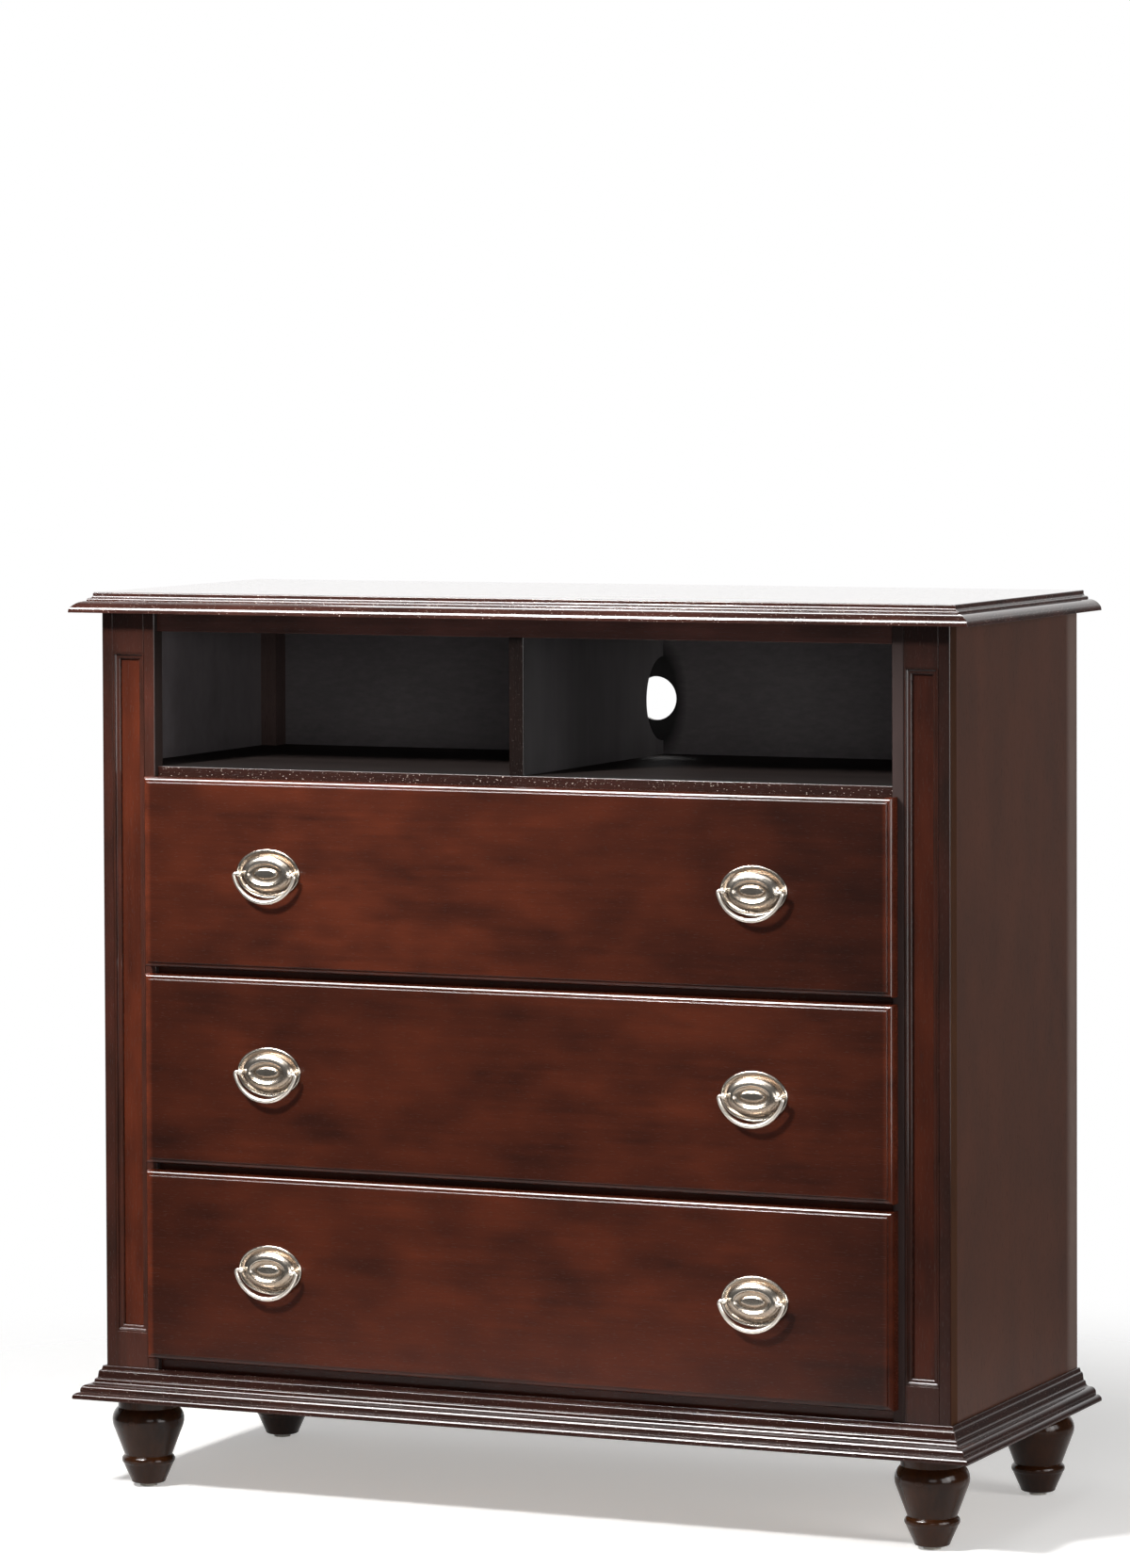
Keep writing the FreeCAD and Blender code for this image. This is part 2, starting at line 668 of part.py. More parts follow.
def feet():
    """Turned feet: neck, swelling, taper, ring and toe, with a bolt into the deck and a glide under each."""
    hole = "bolt_radius + bolt_clearance"
    hole_floor = "foot_height + board_thickness - bolt_length"
    ring_low = "(foot_ankle_rise - foot_ring_height)"
    bulge_level = "(foot_height - foot_bulge_drop)"
    lower = swell("foot_bulge - foot_shoulder", "foot_shoulder_drop - foot_bulge_drop")
    upper = swell("foot_bulge - foot_neck", "foot_bulge_drop - foot_neck_height")
    profile = [
        ("0", "glide_height"),
        ("foot_toe - foot_toe_round", "glide_height"),
        ("foot_toe", "glide_height + foot_toe_round", "foot_toe_round", 1),
        ("foot_rim", ring_low),
        ("foot_ankle", "foot_ankle_rise", "foot_ring_round", 1),
        ("foot_shoulder", "foot_height - foot_shoulder_drop"),
        ("foot_bulge", bulge_level, lower, 1),
        ("foot_neck", "foot_height - foot_neck_height", upper, 1),
        ("foot_neck", "foot_height"),
        (hole, "foot_height"),
        (hole, hole_floor),
        ("0", hole_floor),
    ]
    bolts, glides = [], []
    for name, x, y in foot_places():
        node(f"foot_{name}", turning(f"foot_{name}", "XZ", profile, (x, y, "0")))
        bolts.append(rod(f"bolt_{name}", "bolt_radius", "bolt_length", (x, y, hole_floor)))
        glides.append(rod(f"glide_{name}", "glide_radius", "glide_height", (x, y, "0")))
    node("foot_bolts", group("foot_bolts", bolts), 4)
    node("foot_glides", group("foot_glides", glides), 4)


def tracks_and_tacks():
    """The steel channel under each drawer and the nylon pads that its sides ride on."""
    half, slot, wall = "track_width / 2", "track_slot / 2", "track_wall"
    inner = f"({half} - {wall})"
    channel, pads = [], []
    for tier, name in enumerate(DRAWERS):
        low = rail_top(tier)
        high = f"({low} + track_height)"
        right = [
            (half, low),
            (half, high),
            (slot, high),
            (slot, f"{high} - {wall}"),
            (inner, f"{high} - {wall}"),
            (inner, f"{low} + {wall}"),
        ]
        start = f"({FRONT_BACK} + box_board + track_setback)"
        channel.append(prism(f"track_{name}", "XZ", right + flipped(right)[::-1],
                             f"{PANEL_FACE} - {start}", ("0", start, "0")))
        for side in SIDES:
            reach = f"({BOX_HALF} - box_board / 2)"
            x = reach if side == "right" else f"-{reach}"
            y = f"{RAIL_FACE} + board_thickness / 2"
            pads.append(rod(f"tack_{name}_{side}", "tack_radius", "tack_height", (x, y, low)))
    node("glide_tracks", group("glide_tracks", channel), 3)
    node("tack_glides", group("tack_glides", pads), 6)


def drawer(tier, name):
    """One drawer: moulded front, dovetailed box, bottom in grooves, rear guide and its two pulls."""
    low, high = box_low(tier), f"({box_low(tier)} + {BOX_HEIGHT})"
    inner_face = f"({FRONT_BACK} + box_board)"
    groove_low = f"({low} + bottom_rise)"
    groove_high = f"({groove_low} + bottom_thickness + 2 * groove_clearance)"
    bottom = (f"{groove_low} + groove_clearance", f"({groove_high} - groove_clearance)")
    holes = [("left", sign) for sign in "-+"] + [("right", sign) for sign in "-+"]
    centres = {"left": "(-pull_spread)", "right": "pull_spread"}
    level = f"({front_low(tier)} + {FRONT_HEIGHT} / 2 + pull_rise)"

    def drilled(label, blank, y, thickness):
        """A blank with the four screw holes of the pulls."""
        bores = [rod(f"{label}_hole_{index}", "screw_radius + screw_clearance", thickness,
                     (f"{centres[side]} {sign} {POST_SPREAD}", y, level), ALONG_Y)
                 for index, (side, sign) in enumerate(holes)]
        return boolean("Cut", label, blank, group(f"{label}_holes", bores))

    label = f"drawer_{name}"
    node(f"{label}_front", drilled(f"{label}_front", front_blank(label, tier), FRONT_FACE, "front_thickness"))
    section = [
        (FRONT_BACK, low),
        (FRONT_BACK, high),
        (inner_face, high),
        (inner_face, groove_high),
        (f"{inner_face} - groove_depth", groove_high),
        (f"{inner_face} - groove_depth", groove_low),
        (inner_face, groove_low),
        (inner_face, low),
    ]
    blank = prism(f"{label}_box_front_blank", "YZ", section, f"2 * {BOX_HALF}", (f"-{BOX_HALF}", "0", "0"))
    blank = drilled(f"{label}_box_front_drilled", blank, FRONT_BACK, "box_board")
    sides, sockets = [], []
    for side, x in zip(SIDES, (f"-{BOX_HALF}", BOX_INSIDE)):
        plank = prism(f"{label}_plank_{side}", "YZ", dovetailed(low, "0"), "box_board", (x, "0", "0"))
        groove = board(f"{label}_groove_{side}", sided(side, BOX_INSIDE, f"{BOX_INSIDE} + groove_depth"),
                       (FRONT_BACK, BOX_BACK), (groove_low, groove_high))
        sides.append(boolean("Cut", f"{label}_side_{side}", plank, groove))
        sockets.append(prism(f"{label}_sockets_{side}", "YZ", dovetailed(low, "tail_clearance"), "box_board",
                             (x, "0", "0")))
    node(f"{label}_sides", group(f"{label}_sides", sides), 2)
    sockets = group(f"{label}_sockets", sockets)
    node(f"{label}_box_front", boolean("Cut", f"{label}_box_front", blank, sockets))
    blank = board(f"{label}_back_blank", (f"-{BOX_HALF}", BOX_HALF), (f"{BOX_BACK} - box_board", BOX_BACK),
                  (bottom[1], f"{high} - box_back_drop"))
    node(f"{label}_back", boolean("Cut", f"{label}_back", blank, sockets))
    reach = f"({BOX_INSIDE} + groove_depth - groove_clearance)"
    front_edge = f"{inner_face} - groove_depth + groove_clearance"
    node(f"{label}_bottom", board(f"{label}_bottom", (f"-{reach}", reach), (front_edge, BOX_BACK), bottom))
    guide(label, tier)
    pulls(label, centres, level, inner_face)


def dovetailed(low, slack):
    """Outline of a drawer side with a row of tails at each end, widened by a slack for their sockets."""
    pitch = f"({BOX_HEIGHT} / {TAILS})"
    root_half = f"(({pitch} - pin_wood) / 2 + {slack})"
    tip_half = f"({root_half} + tail_flare)"
    rear = [(f"{BOX_BACK} - box_board", low)]
    front = [(f"{FRONT_BACK} + box_board", low)]
    for index in range(TAILS):
        middle = f"{low} + {index + 0.5} * {pitch}"
        for row, tip, root in ((rear, BOX_BACK, rear[0][0]), (front, FRONT_BACK, front[0][0])):
            row += [(root, f"{middle} - {root_half}"), (tip, f"{middle} - {tip_half}"),
                    (tip, f"{middle} + {tip_half}"), (root, f"{middle} + {root_half}")]
    high = f"{low} + {BOX_HEIGHT}"
    return rear + [(rear[0][0], high), (front[0][0], high)] + front[::-1]


def front_blank(label, tier):
    """A drawer front with its moulded border on all four edges."""
    ledge_in = "(front_round + front_ledge)"
    edge = [
        ("0", "0"),
        ("0", "front_thickness - front_step - front_round"),
        ("front_round", "front_thickness - front_step", "front_round", -1),
        (ledge_in, "front_thickness - front_step"),
        (ledge_in, "front_thickness - front_ease"),
        (f"{ledge_in} + front_ease", "front_thickness", "front_ease", -1),
    ]
    low = front_low(tier)
    across = rising(edge, lambda d, h: (f"-{FRONT_HALF} + {d}", f"{FRONT_BACK} - ({h})"), -1)
    across += falling(edge, lambda d, h: (f"{FRONT_HALF} - ({d})", f"{FRONT_BACK} - ({h})"), 1)
    along = rising(edge, lambda d, h: (f"{FRONT_BACK} - ({h})", f"{low} + {d}"), 1)
    along += falling(edge, lambda d, h: (f"{FRONT_BACK} - ({h})", f"{low} + {FRONT_HEIGHT} - ({d})"), -1)
    tall = prism(f"{label}_front_across", "XY", across, FRONT_HEIGHT, ("0", "0", low))
    wide = prism(f"{label}_front_along", "YZ", along, f"2 * {FRONT_HALF}", (f"-{FRONT_HALF}", "0", "0"))
    return boolean("Common", f"{label}_front_blank", tall, wide)


def guide(label, tier):
    """The nylon guide behind a drawer: a plate on the back with a foot that runs inside the channel."""
    low = rail_top(tier)
    lip = f"({low} + track_height - track_wall)"
    foot = "(track_width / 2 - track_wall - guide_gap)"
    stem = "(track_slot / 2 - guide_gap)"
    plate_low = f"({low} + track_height + guide_gap)"
    right = [
        (foot, f"{low} + track_wall + guide_gap"),
        (foot, f"{lip} - guide_gap"),
        (stem, f"{lip} - guide_gap"),
        (stem, plate_low),
        ("guide_width / 2", plate_low),
        ("guide_width / 2", f"{low} + guide_rise"),
    ]
    node(f"{label}_guide", prism(f"{label}_guide", "XZ", right + flipped(right)[::-1], "guide_length",
                                 ("0", BOX_BACK, "0")))


def pulls(label, centres, level, inner_face):
    """Two pulls: stamped oval plates, turned posts, screws from inside and a bail on each pair of posts."""
    pivot = f"({FRONT_FACE} - pivot_standoff)"
    plates, posts, screws = [], [], []
    for side in SIDES:
        centre = centres[side]
        name = f"{label}_{side}"
        for sign, hand in zip("-+", SIDES):
            x = f"({centre} {sign} {POST_SPREAD})"
            posts.append(post(f"{name}_post_{hand}", x, level, pivot))
            screws.append(screw(f"{name}_screw_{hand}", x, level, inner_face))
        plates.append(plate(f"{name}_plate", centre, level))
        node(f"{label}_bail_{side}", bail(f"{name}_bail", centre, level, pivot))
    node(f"{label}_pull_plates", group(f"{label}_pull_plates", plates), 2)
    node(f"{label}_pull_posts", group(f"{label}_pull_posts", posts), 4)
    node(f"{label}_pull_screws", group(f"{label}_pull_screws", screws), 4)


def plate_sections():
    """Inset and height of each oval across a plate: rim bead, groove, dome, bowl and boss."""
    sections = [("0", "0")]
    for step in range(RIM_STEPS + 1):
        angle = 180 * step / RIM_STEPS
        sections.append((f"rim_radius * (1 - cos({angle} deg))",
                         f"plate_edge + rim_radius * sin({angle} deg)"))
    groove = "(2 * rim_radius + groove_width)"
    for step in range(DOME_STEPS + 1):
        angle = 90 * step / DOME_STEPS
        sections.append((f"{groove} + dome_width * (1 - cos({angle} deg))",
                         f"groove_level + (dome_height - groove_level) * sin({angle} deg)"))
    crest = f"({groove} + dome_width)"
    for step in range(1, BOWL_STEPS + 1):
        angle = 90 * step / BOWL_STEPS
        sections.append((f"{crest} + bowl_width * (1 - cos({angle} deg))",
                         f"bowl_level + (dome_height - bowl_level) * (1 - sin({angle} deg))"))
    bowl = f"({crest} + bowl_width)"
    for step in range(1, BOSS_STEPS + 1):
        angle = 90 * step / BOSS_STEPS
        sections.append((f"{bowl} + boss_width * (1 - cos({angle} deg))",
                         f"bowl_level + (boss_height - bowl_level) * sin({angle} deg)"))
    return sections


def plate(label, centre, level):
    """A stamped oval plate, lofted through its ovals, with a hole for each post."""
    sections = plate_sections()
    taper = f"((plate_half_height - boss_half_height) / ({sections[-1][0]}))"
    ovals = []
    for index, (inset, height) in enumerate(sections):
        oval = doc.addObject("Part::Ellipse", f"{label}_oval_{index}")
        oval.Placement.Rotation = UPRIGHT
        bind(oval, "MajorRadius", f"plate_half_width - ({inset})")
        bind(oval, "MinorRadius", f"plate_half_height - {taper} * ({inset})")
        ovals.append(place(oval, (centre, f"{FRONT_FACE} - ({height})", level)))
    stamping = doc.addObject("Part::Loft", f"{label}_stamping")
    stamping.Sections = ovals
    stamping.Solid = True
    stamping.Ruled = True
    holes = [rod(f"{label}_hole_{index}", "post_shank_radius + screw_clearance", "dome_height",
                 (f"{centre} {sign} {POST_SPREAD}", f"{FRONT_FACE} - dome_height", level), ALONG_Y)
             for index, sign in enumerate("-+")]
    return boolean("Cut", label, stamping, group(f"{label}_holes", holes))


def post(label, x, level, pivot):
    """A ball-headed post, tapped from behind and cross-bored for the bail."""
    hole = "(screw_radius + screw_clearance)"
    seat = "(pivot_standoff - sqrt(post_head_radius ^ 2 - post_shank_radius ^ 2))"
    profile = [
        (hole, "0"),
        (hole, "-(screw_depth + screw_clearance)"),
        ("0", "-(screw_depth + screw_clearance)"),
        ("0", "-(pivot_standoff + post_head_radius)"),
        ("post_shank_radius", f"-{seat}", "post_head_radius", 1),
        ("post_shank_radius", "0"),
    ]
    turned = turning(f"{label}_turned", "XY", profile, (x, FRONT_FACE, level))
    bore = rod(f"{label}_bore", "pin_radius + pin_clearance", "2 * post_head_radius",
               (f"{x} - post_head_radius", pivot, level), ALONG_X)
    return boolean("Cut", label, turned, bore)


def screw(label, x, level, inner_face):
    """A pan-head screw from inside the drawer into a post."""
    length = f"{inner_face} - {FRONT_FACE} + screw_depth"
    profile = [
        ("0", "0"),
        ("screw_radius", "0"),
        ("screw_radius", length),
        ("screw_head_radius", length),
        ("screw_head_radius", f"{length} + screw_head_height"),
        ("0", f"{length} + screw_head_height"),
    ]
    return turning(label, "XY", profile, (x, f"{FRONT_FACE} - screw_depth", level))


def bail(label, centre, level, pivot):
    """A swing bail: a rod that swells towards its middle, bent in at both ends and stepped down to pins.

    Both bends and the bow are tangent arcs; the slope is half the turn that the bow lacks from a half circle.
    """
    reach = f"({POST_SPREAD} + post_head_radius + bail_post_gap)"
    drop = "(plate_half_height + bail_radius + bail_plate_gap)"
    slope = f"(({drop} - 2 * bail_bend) / {reach})"
    sine = f"((1 - {slope} ^ 2) / (1 + {slope} ^ 2))"
    cosine = f"(2 * {slope} / (1 + {slope} ^ 2))"
    bow_radius = f"({reach} / {cosine} + bail_bend)"
    elbow = (f"({reach} + bail_bend * {cosine})", f"-(bail_bend * (1 + {sine}))")
    path = doc.addObject("Sketcher::SketchObject", f"{label}_path")
    path.Placement.Rotation = UPRIGHT
    outline(path, [
        (f"-{reach}", "0"),
        (f"-{elbow[0]}", elbow[1], "bail_bend", 1),
        (*elbow, bow_radius, 1),
        (reach, "0", "bail_bend", 1),
    ], closed=False)
    place(path, (centre, pivot, level))
    rings = []
    for spot, radius, x, z in (("left", "bail_end_radius", f"{centre} - {reach}", level),
                               ("middle", "bail_radius", centre, f"{level} - {drop}"),
                               ("right", "bail_end_radius", f"{centre} + {reach}", level)):
        ring = doc.addObject("Part::Circle", f"{label}_ring_{spot}")
        ring.Placement.Rotation = ALONG_X
        bind(ring, "Radius", radius)
        rings.append(place(ring, (x, pivot, z)))
    bow = doc.addObject("Part::Sweep", f"{label}_bow")
    bow.Sections = rings
    bow.Spine = (path, ["Edge1", "Edge2", "Edge3"])
    bow.Solid = True
    pins = [rod(f"{label}_pin_left", "pin_radius", "pin_length + bail_bend / 2",
                (f"{centre} - {reach} - bail_bend / 2", pivot, level), ALONG_X),
            rod(f"{label}_pin_right", "pin_radius", "pin_length + bail_bend / 2",
                (f"{centre} + {reach} - pin_length", pivot, level), ALONG_X)]
    item = doc.addObject("Part::MultiFuse", label)
    item.Shapes = [bow, *pins]
    return item


def check_and_write():
    """Stops at the first failed piece, then writes every piece to its own file."""
    doc.recompute()
    for item in doc.Objects:
        if {"Invalid", "Error"} & set(item.State):
            raise RuntimeError(f"{item.Label} failed: {item.State}")
    os.makedirs("parts", exist_ok=True)
    for label, (item, solids) in NODES.items():
        shape = item.Shape
        if shape.isNull() or not shape.isValid() or len(shape.Solids) != solids:
            raise RuntimeError(f"{label} has a faulty shape with {len(shape.Solids)} solids")
    for label, (item, solids) in NODES.items():
        item.Shape.exportStep(f"parts/{label}.step")
        box = item.Shape.BoundBox
        print(f"{label}: {solids} solids, {box.XLength:.1f} x {box.YLength:.1f} x {box.ZLength:.1f}")


top_panel()
case_boards()
shelf_and_divider()
front_rails()
pilasters()
base_mouldings()
feet()
tracks_and_tacks()
for drawer_tier, drawer_name in enumerate(DRAWERS):
    drawer(drawer_tier, drawer_name)
check_and_write()
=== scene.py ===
"""Studio picture of a media chest in dark cherry with oval bail pulls. Metres, front towards -Y, +Z up."""
import json
import math

import bpy
import numpy as np
from mathutils import Matrix, Vector

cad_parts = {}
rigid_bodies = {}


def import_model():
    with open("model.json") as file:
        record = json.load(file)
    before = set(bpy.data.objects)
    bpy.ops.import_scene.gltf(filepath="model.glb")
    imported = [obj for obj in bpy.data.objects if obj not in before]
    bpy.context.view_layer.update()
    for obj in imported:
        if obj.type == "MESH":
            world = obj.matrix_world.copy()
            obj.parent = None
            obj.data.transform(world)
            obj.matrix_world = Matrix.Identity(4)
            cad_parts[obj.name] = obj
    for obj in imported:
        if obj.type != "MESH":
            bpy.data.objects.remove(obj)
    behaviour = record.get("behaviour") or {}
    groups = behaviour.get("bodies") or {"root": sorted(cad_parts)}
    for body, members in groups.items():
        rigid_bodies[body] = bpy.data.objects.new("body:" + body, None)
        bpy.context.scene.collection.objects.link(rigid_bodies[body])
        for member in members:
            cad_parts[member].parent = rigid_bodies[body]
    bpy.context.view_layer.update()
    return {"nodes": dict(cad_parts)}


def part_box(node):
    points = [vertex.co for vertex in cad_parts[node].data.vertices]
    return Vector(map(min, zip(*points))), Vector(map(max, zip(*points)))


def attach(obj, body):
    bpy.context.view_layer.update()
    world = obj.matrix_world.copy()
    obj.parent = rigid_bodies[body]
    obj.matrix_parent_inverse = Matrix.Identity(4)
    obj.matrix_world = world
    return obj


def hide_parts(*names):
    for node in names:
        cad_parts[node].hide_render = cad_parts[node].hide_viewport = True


for leftover in list(bpy.data.objects):
    bpy.data.objects.remove(leftover)
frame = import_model()
nodes = frame["nodes"]

MM = 0.001
DRAWERS = ("top", "middle", "bottom")

# Where most values of a noise lie, which a pattern spreads over its tones
NOISE_RANGE, CLOUD_RANGE = (0.3, 0.7), (0.35, 0.65)

# The veneer's pattern in mm, along and across the grain, and the tones that break it up
BLOTCH, FIGURE, FIBRE, PORE, GLINT_SPECK = (90, 42), (160, 7), (26, 1.4), (9, 1.1), (2.6, 1.3)
BLOTCH_SHARE = 0.72
# The third tone is a painted highlight: pale specks that stand for glints where pores in the lacquer catch
# the light
PORE_TONE, RUBBED_TONE, GLINT_TONE = "#140907", "#7d4a33", "#e2d0c4"
PORE_SHARE, PORE_ROUGHNESS = 0.3, 0.08
PORE_RANGE, GLINT_RANGE = (0.62, 0.72), (0.7, 0.73)

# Lacquer: its sheen, the share of the roughness left on mouldings, and the dull spray of linings
LACQUER_SHEEN, MOULDING_SHARE = 0.5, 0.4
SPRAY_ROUGHNESS, SPRAY_SHEEN = 0.65, 0.1
HARD_EDGE = 0.1
EDGE_ROUND, GRAIN_DEPTH = 0.8, 0.15

# Secondary wood and hardboard: patterns in mm, tones, and the index of refraction of their thin seal
RING, BOX_FIBRE, BOX_RANGE = (520, 16), (40, 1.3), (0.32, 0.68)
MAT, BOARD_CLOUD, BOARD_TONES = (14, 5), (260, 160), ("#716b6c", "#878080")
SEAL_IOR = 1.46

# The painted shadow round the cable hole: the hole's level and the painted shadow's half sizes in mm, and its
# soft edge in half sizes
HOLE_LEVEL, HOLE_SHADOW_HALF, HOLE_SHADOW_TONE = 911, (24, 48), "#050404"
HOLE_SHADOW_EDGE, HOLE_SHADOW_SHARE = (1.1, 1.7), 0.88

# Nickel: patterns in mm, and the tone, strength and roughness of its patina, which also serves as a painted
# reflection on slopes that face down
SATIN, TARNISH, TARNISH_SHARE = (2.5, 0.9), (16, 11), 0.35
PATINA_AND_SHADE_TONE, PATINA_AND_SHADE_SHARE, PATINA_ROUGHNESS = "#8c7966", 0.95, 0.1


def linear(code):
    """An sRGB hex colour as linear RGBA."""
    shares = np.array([int(code[start:start + 2], 16) for start in (1, 3, 5)]) / 255
    return (*np.where(shares <= 0.04045, shares / 12.92, ((shares + 0.055) / 1.055) ** 2.4), 1)


def add(tree, kind, *inputs, **settings):
    """Adds a shader node: inputs fill its sockets in order, settings name its properties or sockets.

    A node or a socket among the values is linked, and anything else is set.
    """
    node = tree.nodes.new(f"ShaderNode{kind}")
    sockets = list(enumerate(inputs))
    for name, value in settings.items():
        if name in node.bl_rna.properties:
            setattr(node, name, value)
        else:
            sockets.append((name.replace("_", " "), value))
    for key, value in sockets:
        if isinstance(value, bpy.types.Node):
            value = value.outputs[0]
        if isinstance(value, bpy.types.NodeSocket):
            tree.links.new(value, node.inputs[key])
        elif value is not None:
            node.inputs[key].default_value = value
    return node


def finish_of(name):
    """A new empty material and its node tree."""
    material = bpy.data.materials.new(name)
    material.use_nodes = True
    material.node_tree.nodes.clear()
    return material, material.node_tree


def close(tree, shader):
    """Joins a shader to the material's output."""
    add(tree, "OutputMaterial", shader)


def drift(tree, grain, length, width, shift, detail=2.0, rough=0.5):
    """A noise drawn out along the grain: length along it and width across it, both in mm."""
    where = add(tree, "TexCoord").outputs["Object"]
    steps = [1 / (MM * (length if axis == grain else width)) for axis in "XYZ"]
    spot = add(tree, "Mapping", where, Location=(shift, 1.7 * shift, 2.3 * shift), Scale=steps)
    return add(tree, "TexNoise", spot, Scale=1.0, Detail=detail, Roughness=rough).outputs[0]


def toned(tree, axis, *stops):
    """Tone along an axis: stops of a place in mm and a level, with straight runs between them."""
    low, high = stops[0][0] * MM, stops[-1][0] * MM
    along = add(tree, "SeparateXYZ", add(tree, "TexCoord").outputs["Object"]).outputs[axis]
    ramp = add(tree, "ValToRGB", add(tree, "MapRange", along, low, high, 0.0, 1.0))
    marks = ramp.color_ramp.elements
    for place, _ in stops[1:-1]:
        marks.new((place * MM - low) / (high - low))
    for mark, (_, level) in zip(marks, stops):
        mark.color = (level, level, level, 1)
    return ramp


def cherry(name, grain, shift, light, dark, rough=0.24, shading=(), linings=(), specks=0.0, relief=0.03,
           weave=FIGURE, ior=1.33):
    """Cherry veneer, stained dark, glazed at its edges and sprayed with lacquer.

    The eye gets slow blotches of stain, long soft figure, fine fibre streaks and open pores that
    break up the gloss, and edges rubbed back to a lighter brown. Broad faces are rubbed to a satin and
    mouldings, which turn from the three axes, keep the full gloss. The real fibres are about 0.4 mm wide;
    they are drawn 1.4 mm wide to show. A lining is where the piece has a dull spray: an axis, start and end
    in mm, two tones, and the mm over which it fades in. Specks are a painted highlight: pale flecks that
    stand for glints where pores in the lacquer catch the light.
    Shading lists axes with their tone stops, which paint light and shade into the stain; weave is the
    length and width of the figure in mm, and the index of refraction says how thick the lacquer lies.
    """
    material, tree = finish_of(name)
    blotch = drift(tree, grain, *BLOTCH, shift)
    figure = drift(tree, grain, *weave, shift + 3, 3.0)
    fibre = drift(tree, grain, *FIBRE, shift + 5, 2.0, 0.6)
    pore = drift(tree, grain, *PORE, shift + 9, 1.0)
    finer = add(tree, "Math", figure, 1 - BLOTCH_SHARE, operation="MULTIPLY")
    blend = add(tree, "Math", blotch, BLOTCH_SHARE, finer, operation="MULTIPLY_ADD")
    shade = add(tree, "MapRange", blend, *NOISE_RANGE, 0.0, 1.0)
    stain = add(tree, "MixRGB", shade, linear(dark), linear(light))
    streak = add(tree, "MapRange", fibre, *NOISE_RANGE, 0.92, 1.07)
    stain = add(tree, "MixRGB", 1.0, stain, streak, blend_type="MULTIPLY")
    pit = add(tree, "MapRange", pore, *PORE_RANGE, 0.0, 1.0)
    darkened = add(tree, "Math", pit, PORE_SHARE, operation="MULTIPLY")
    stain = add(tree, "MixRGB", darkened, stain, linear(PORE_TONE))
    soft = add(tree, "Bevel", EDGE_ROUND * MM, samples=4)
    normal = add(tree, "NewGeometry").outputs["Normal"]
    turned = add(tree, "VectorMath", soft, normal, operation="DOT_PRODUCT")
    rubbed = add(tree, "MapRange", turned.outputs["Value"], 0.8, 0.98, 0.5, 0.0)
    rubbed = add(tree, "Math", rubbed, blotch, operation="MULTIPLY")
    stain = add(tree, "MixRGB", rubbed, stain, linear(RUBBED_TONE))
    # Specks: a painted highlight, pale flecks standing for glints on the lacquer
    if specks:
        glint = add(tree, "MapRange", drift(tree, grain, *GLINT_SPECK, shift + 13, 1.0), *GLINT_RANGE, 0.0, specks)
        stain = add(tree, "MixRGB", glint, stain, linear(GLINT_TONE))
    gloss = add(tree, "MapRange", fibre, *NOISE_RANGE, rough - 0.01, rough + 0.02)
    gloss = add(tree, "Math", pit, PORE_ROUGHNESS, gloss, operation="MULTIPLY_ADD")
    facing = add(tree, "SeparateXYZ", add(tree, "VectorMath", normal, operation="ABSOLUTE"))
    squarest = add(tree, "Math", facing.outputs["X"], facing.outputs["Y"], operation="MAXIMUM")
    squarest = add(tree, "Math", squarest, facing.outputs["Z"], operation="MAXIMUM")
    polish = add(tree, "MapRange", squarest, 0.985, 0.999, MOULDING_SHARE, 1.0)
    gloss = add(tree, "Math", gloss, polish, operation="MULTIPLY")
    sheen = LACQUER_SHEEN
    for axis, start, end, pale, deep, fade in linings:
        along = add(tree, "SeparateXYZ", add(tree, "TexCoord").outputs["Object"]).outputs[axis]
        off = add(tree, "Math", along, (start + end) / 2 * MM, operation="SUBTRACT")
        off = add(tree, "Math", off, operation="ABSOLUTE")
        half = (end - start) / 2
        within = add(tree, "MapRange", off, half * MM, (half - fade) * MM, 0.0, 1.0)
        stain = add(tree, "MixRGB", within, stain, add(tree, "MixRGB", shade, linear(deep), linear(pale)))
        dull = add(tree, "Math", within, SPRAY_ROUGHNESS, operation="MULTIPLY")
        gloss = add(tree, "Math", gloss, dull, operation="MAXIMUM")
        sheen = add(tree, "MapRange", within, 0.0, 1.0, sheen, SPRAY_SHEEN)
    # Painted light and shade: each ramp makes the stain lighter or darker along an axis
    for axis, *stops in shading:
        stain = add(tree, "MixRGB", 1.0, stain, toned(tree, axis, *stops), blend_type="MULTIPLY")
    height = add(tree, "Math", fibre, 0.25, add(tree, "Math", pit, -1.0, operation="MULTIPLY"),
                 operation="MULTIPLY_ADD")
    bump = add(tree, "Bump", Strength=relief, Distance=GRAIN_DEPTH * MM, Height=height, Normal=soft)
    close(tree, add(tree, "BsdfPrincipled", stain, Roughness=gloss, IOR=ior, Specular_IOR_Level=sheen,
                    Normal=bump))
    return material


def box_wood(name, grain, shift, light, dark):
    """Pale secondary wood with a thin clear seal, for drawer boxes and the hidden frame."""
    material, tree = finish_of(name)
    ring = drift(tree, grain, *RING, shift)
    fibre = drift(tree, grain, *BOX_FIBRE, shift + 4, 2.0, 0.6)
    tone = add(tree, "Math", ring, 0.65, add(tree, "Math", fibre, 0.35, operation="MULTIPLY"),
               operation="MULTIPLY_ADD")
    tone = add(tree, "MapRange", tone, *BOX_RANGE, 0.0, 1.0)
    colour = add(tree, "MixRGB", tone, linear(dark), linear(light))
    soft = add(tree, "Bevel", 0.5 * MM, samples=4)
    bump = add(tree, "Bump", Strength=0.15, Distance=GRAIN_DEPTH * MM, Height=fibre, Normal=soft)
    rough = add(tree, "MapRange", fibre, *NOISE_RANGE, 0.5, 0.62)
    close(tree, add(tree, "BsdfPrincipled", colour, Roughness=rough, IOR=SEAL_IOR, Normal=bump))
    return material


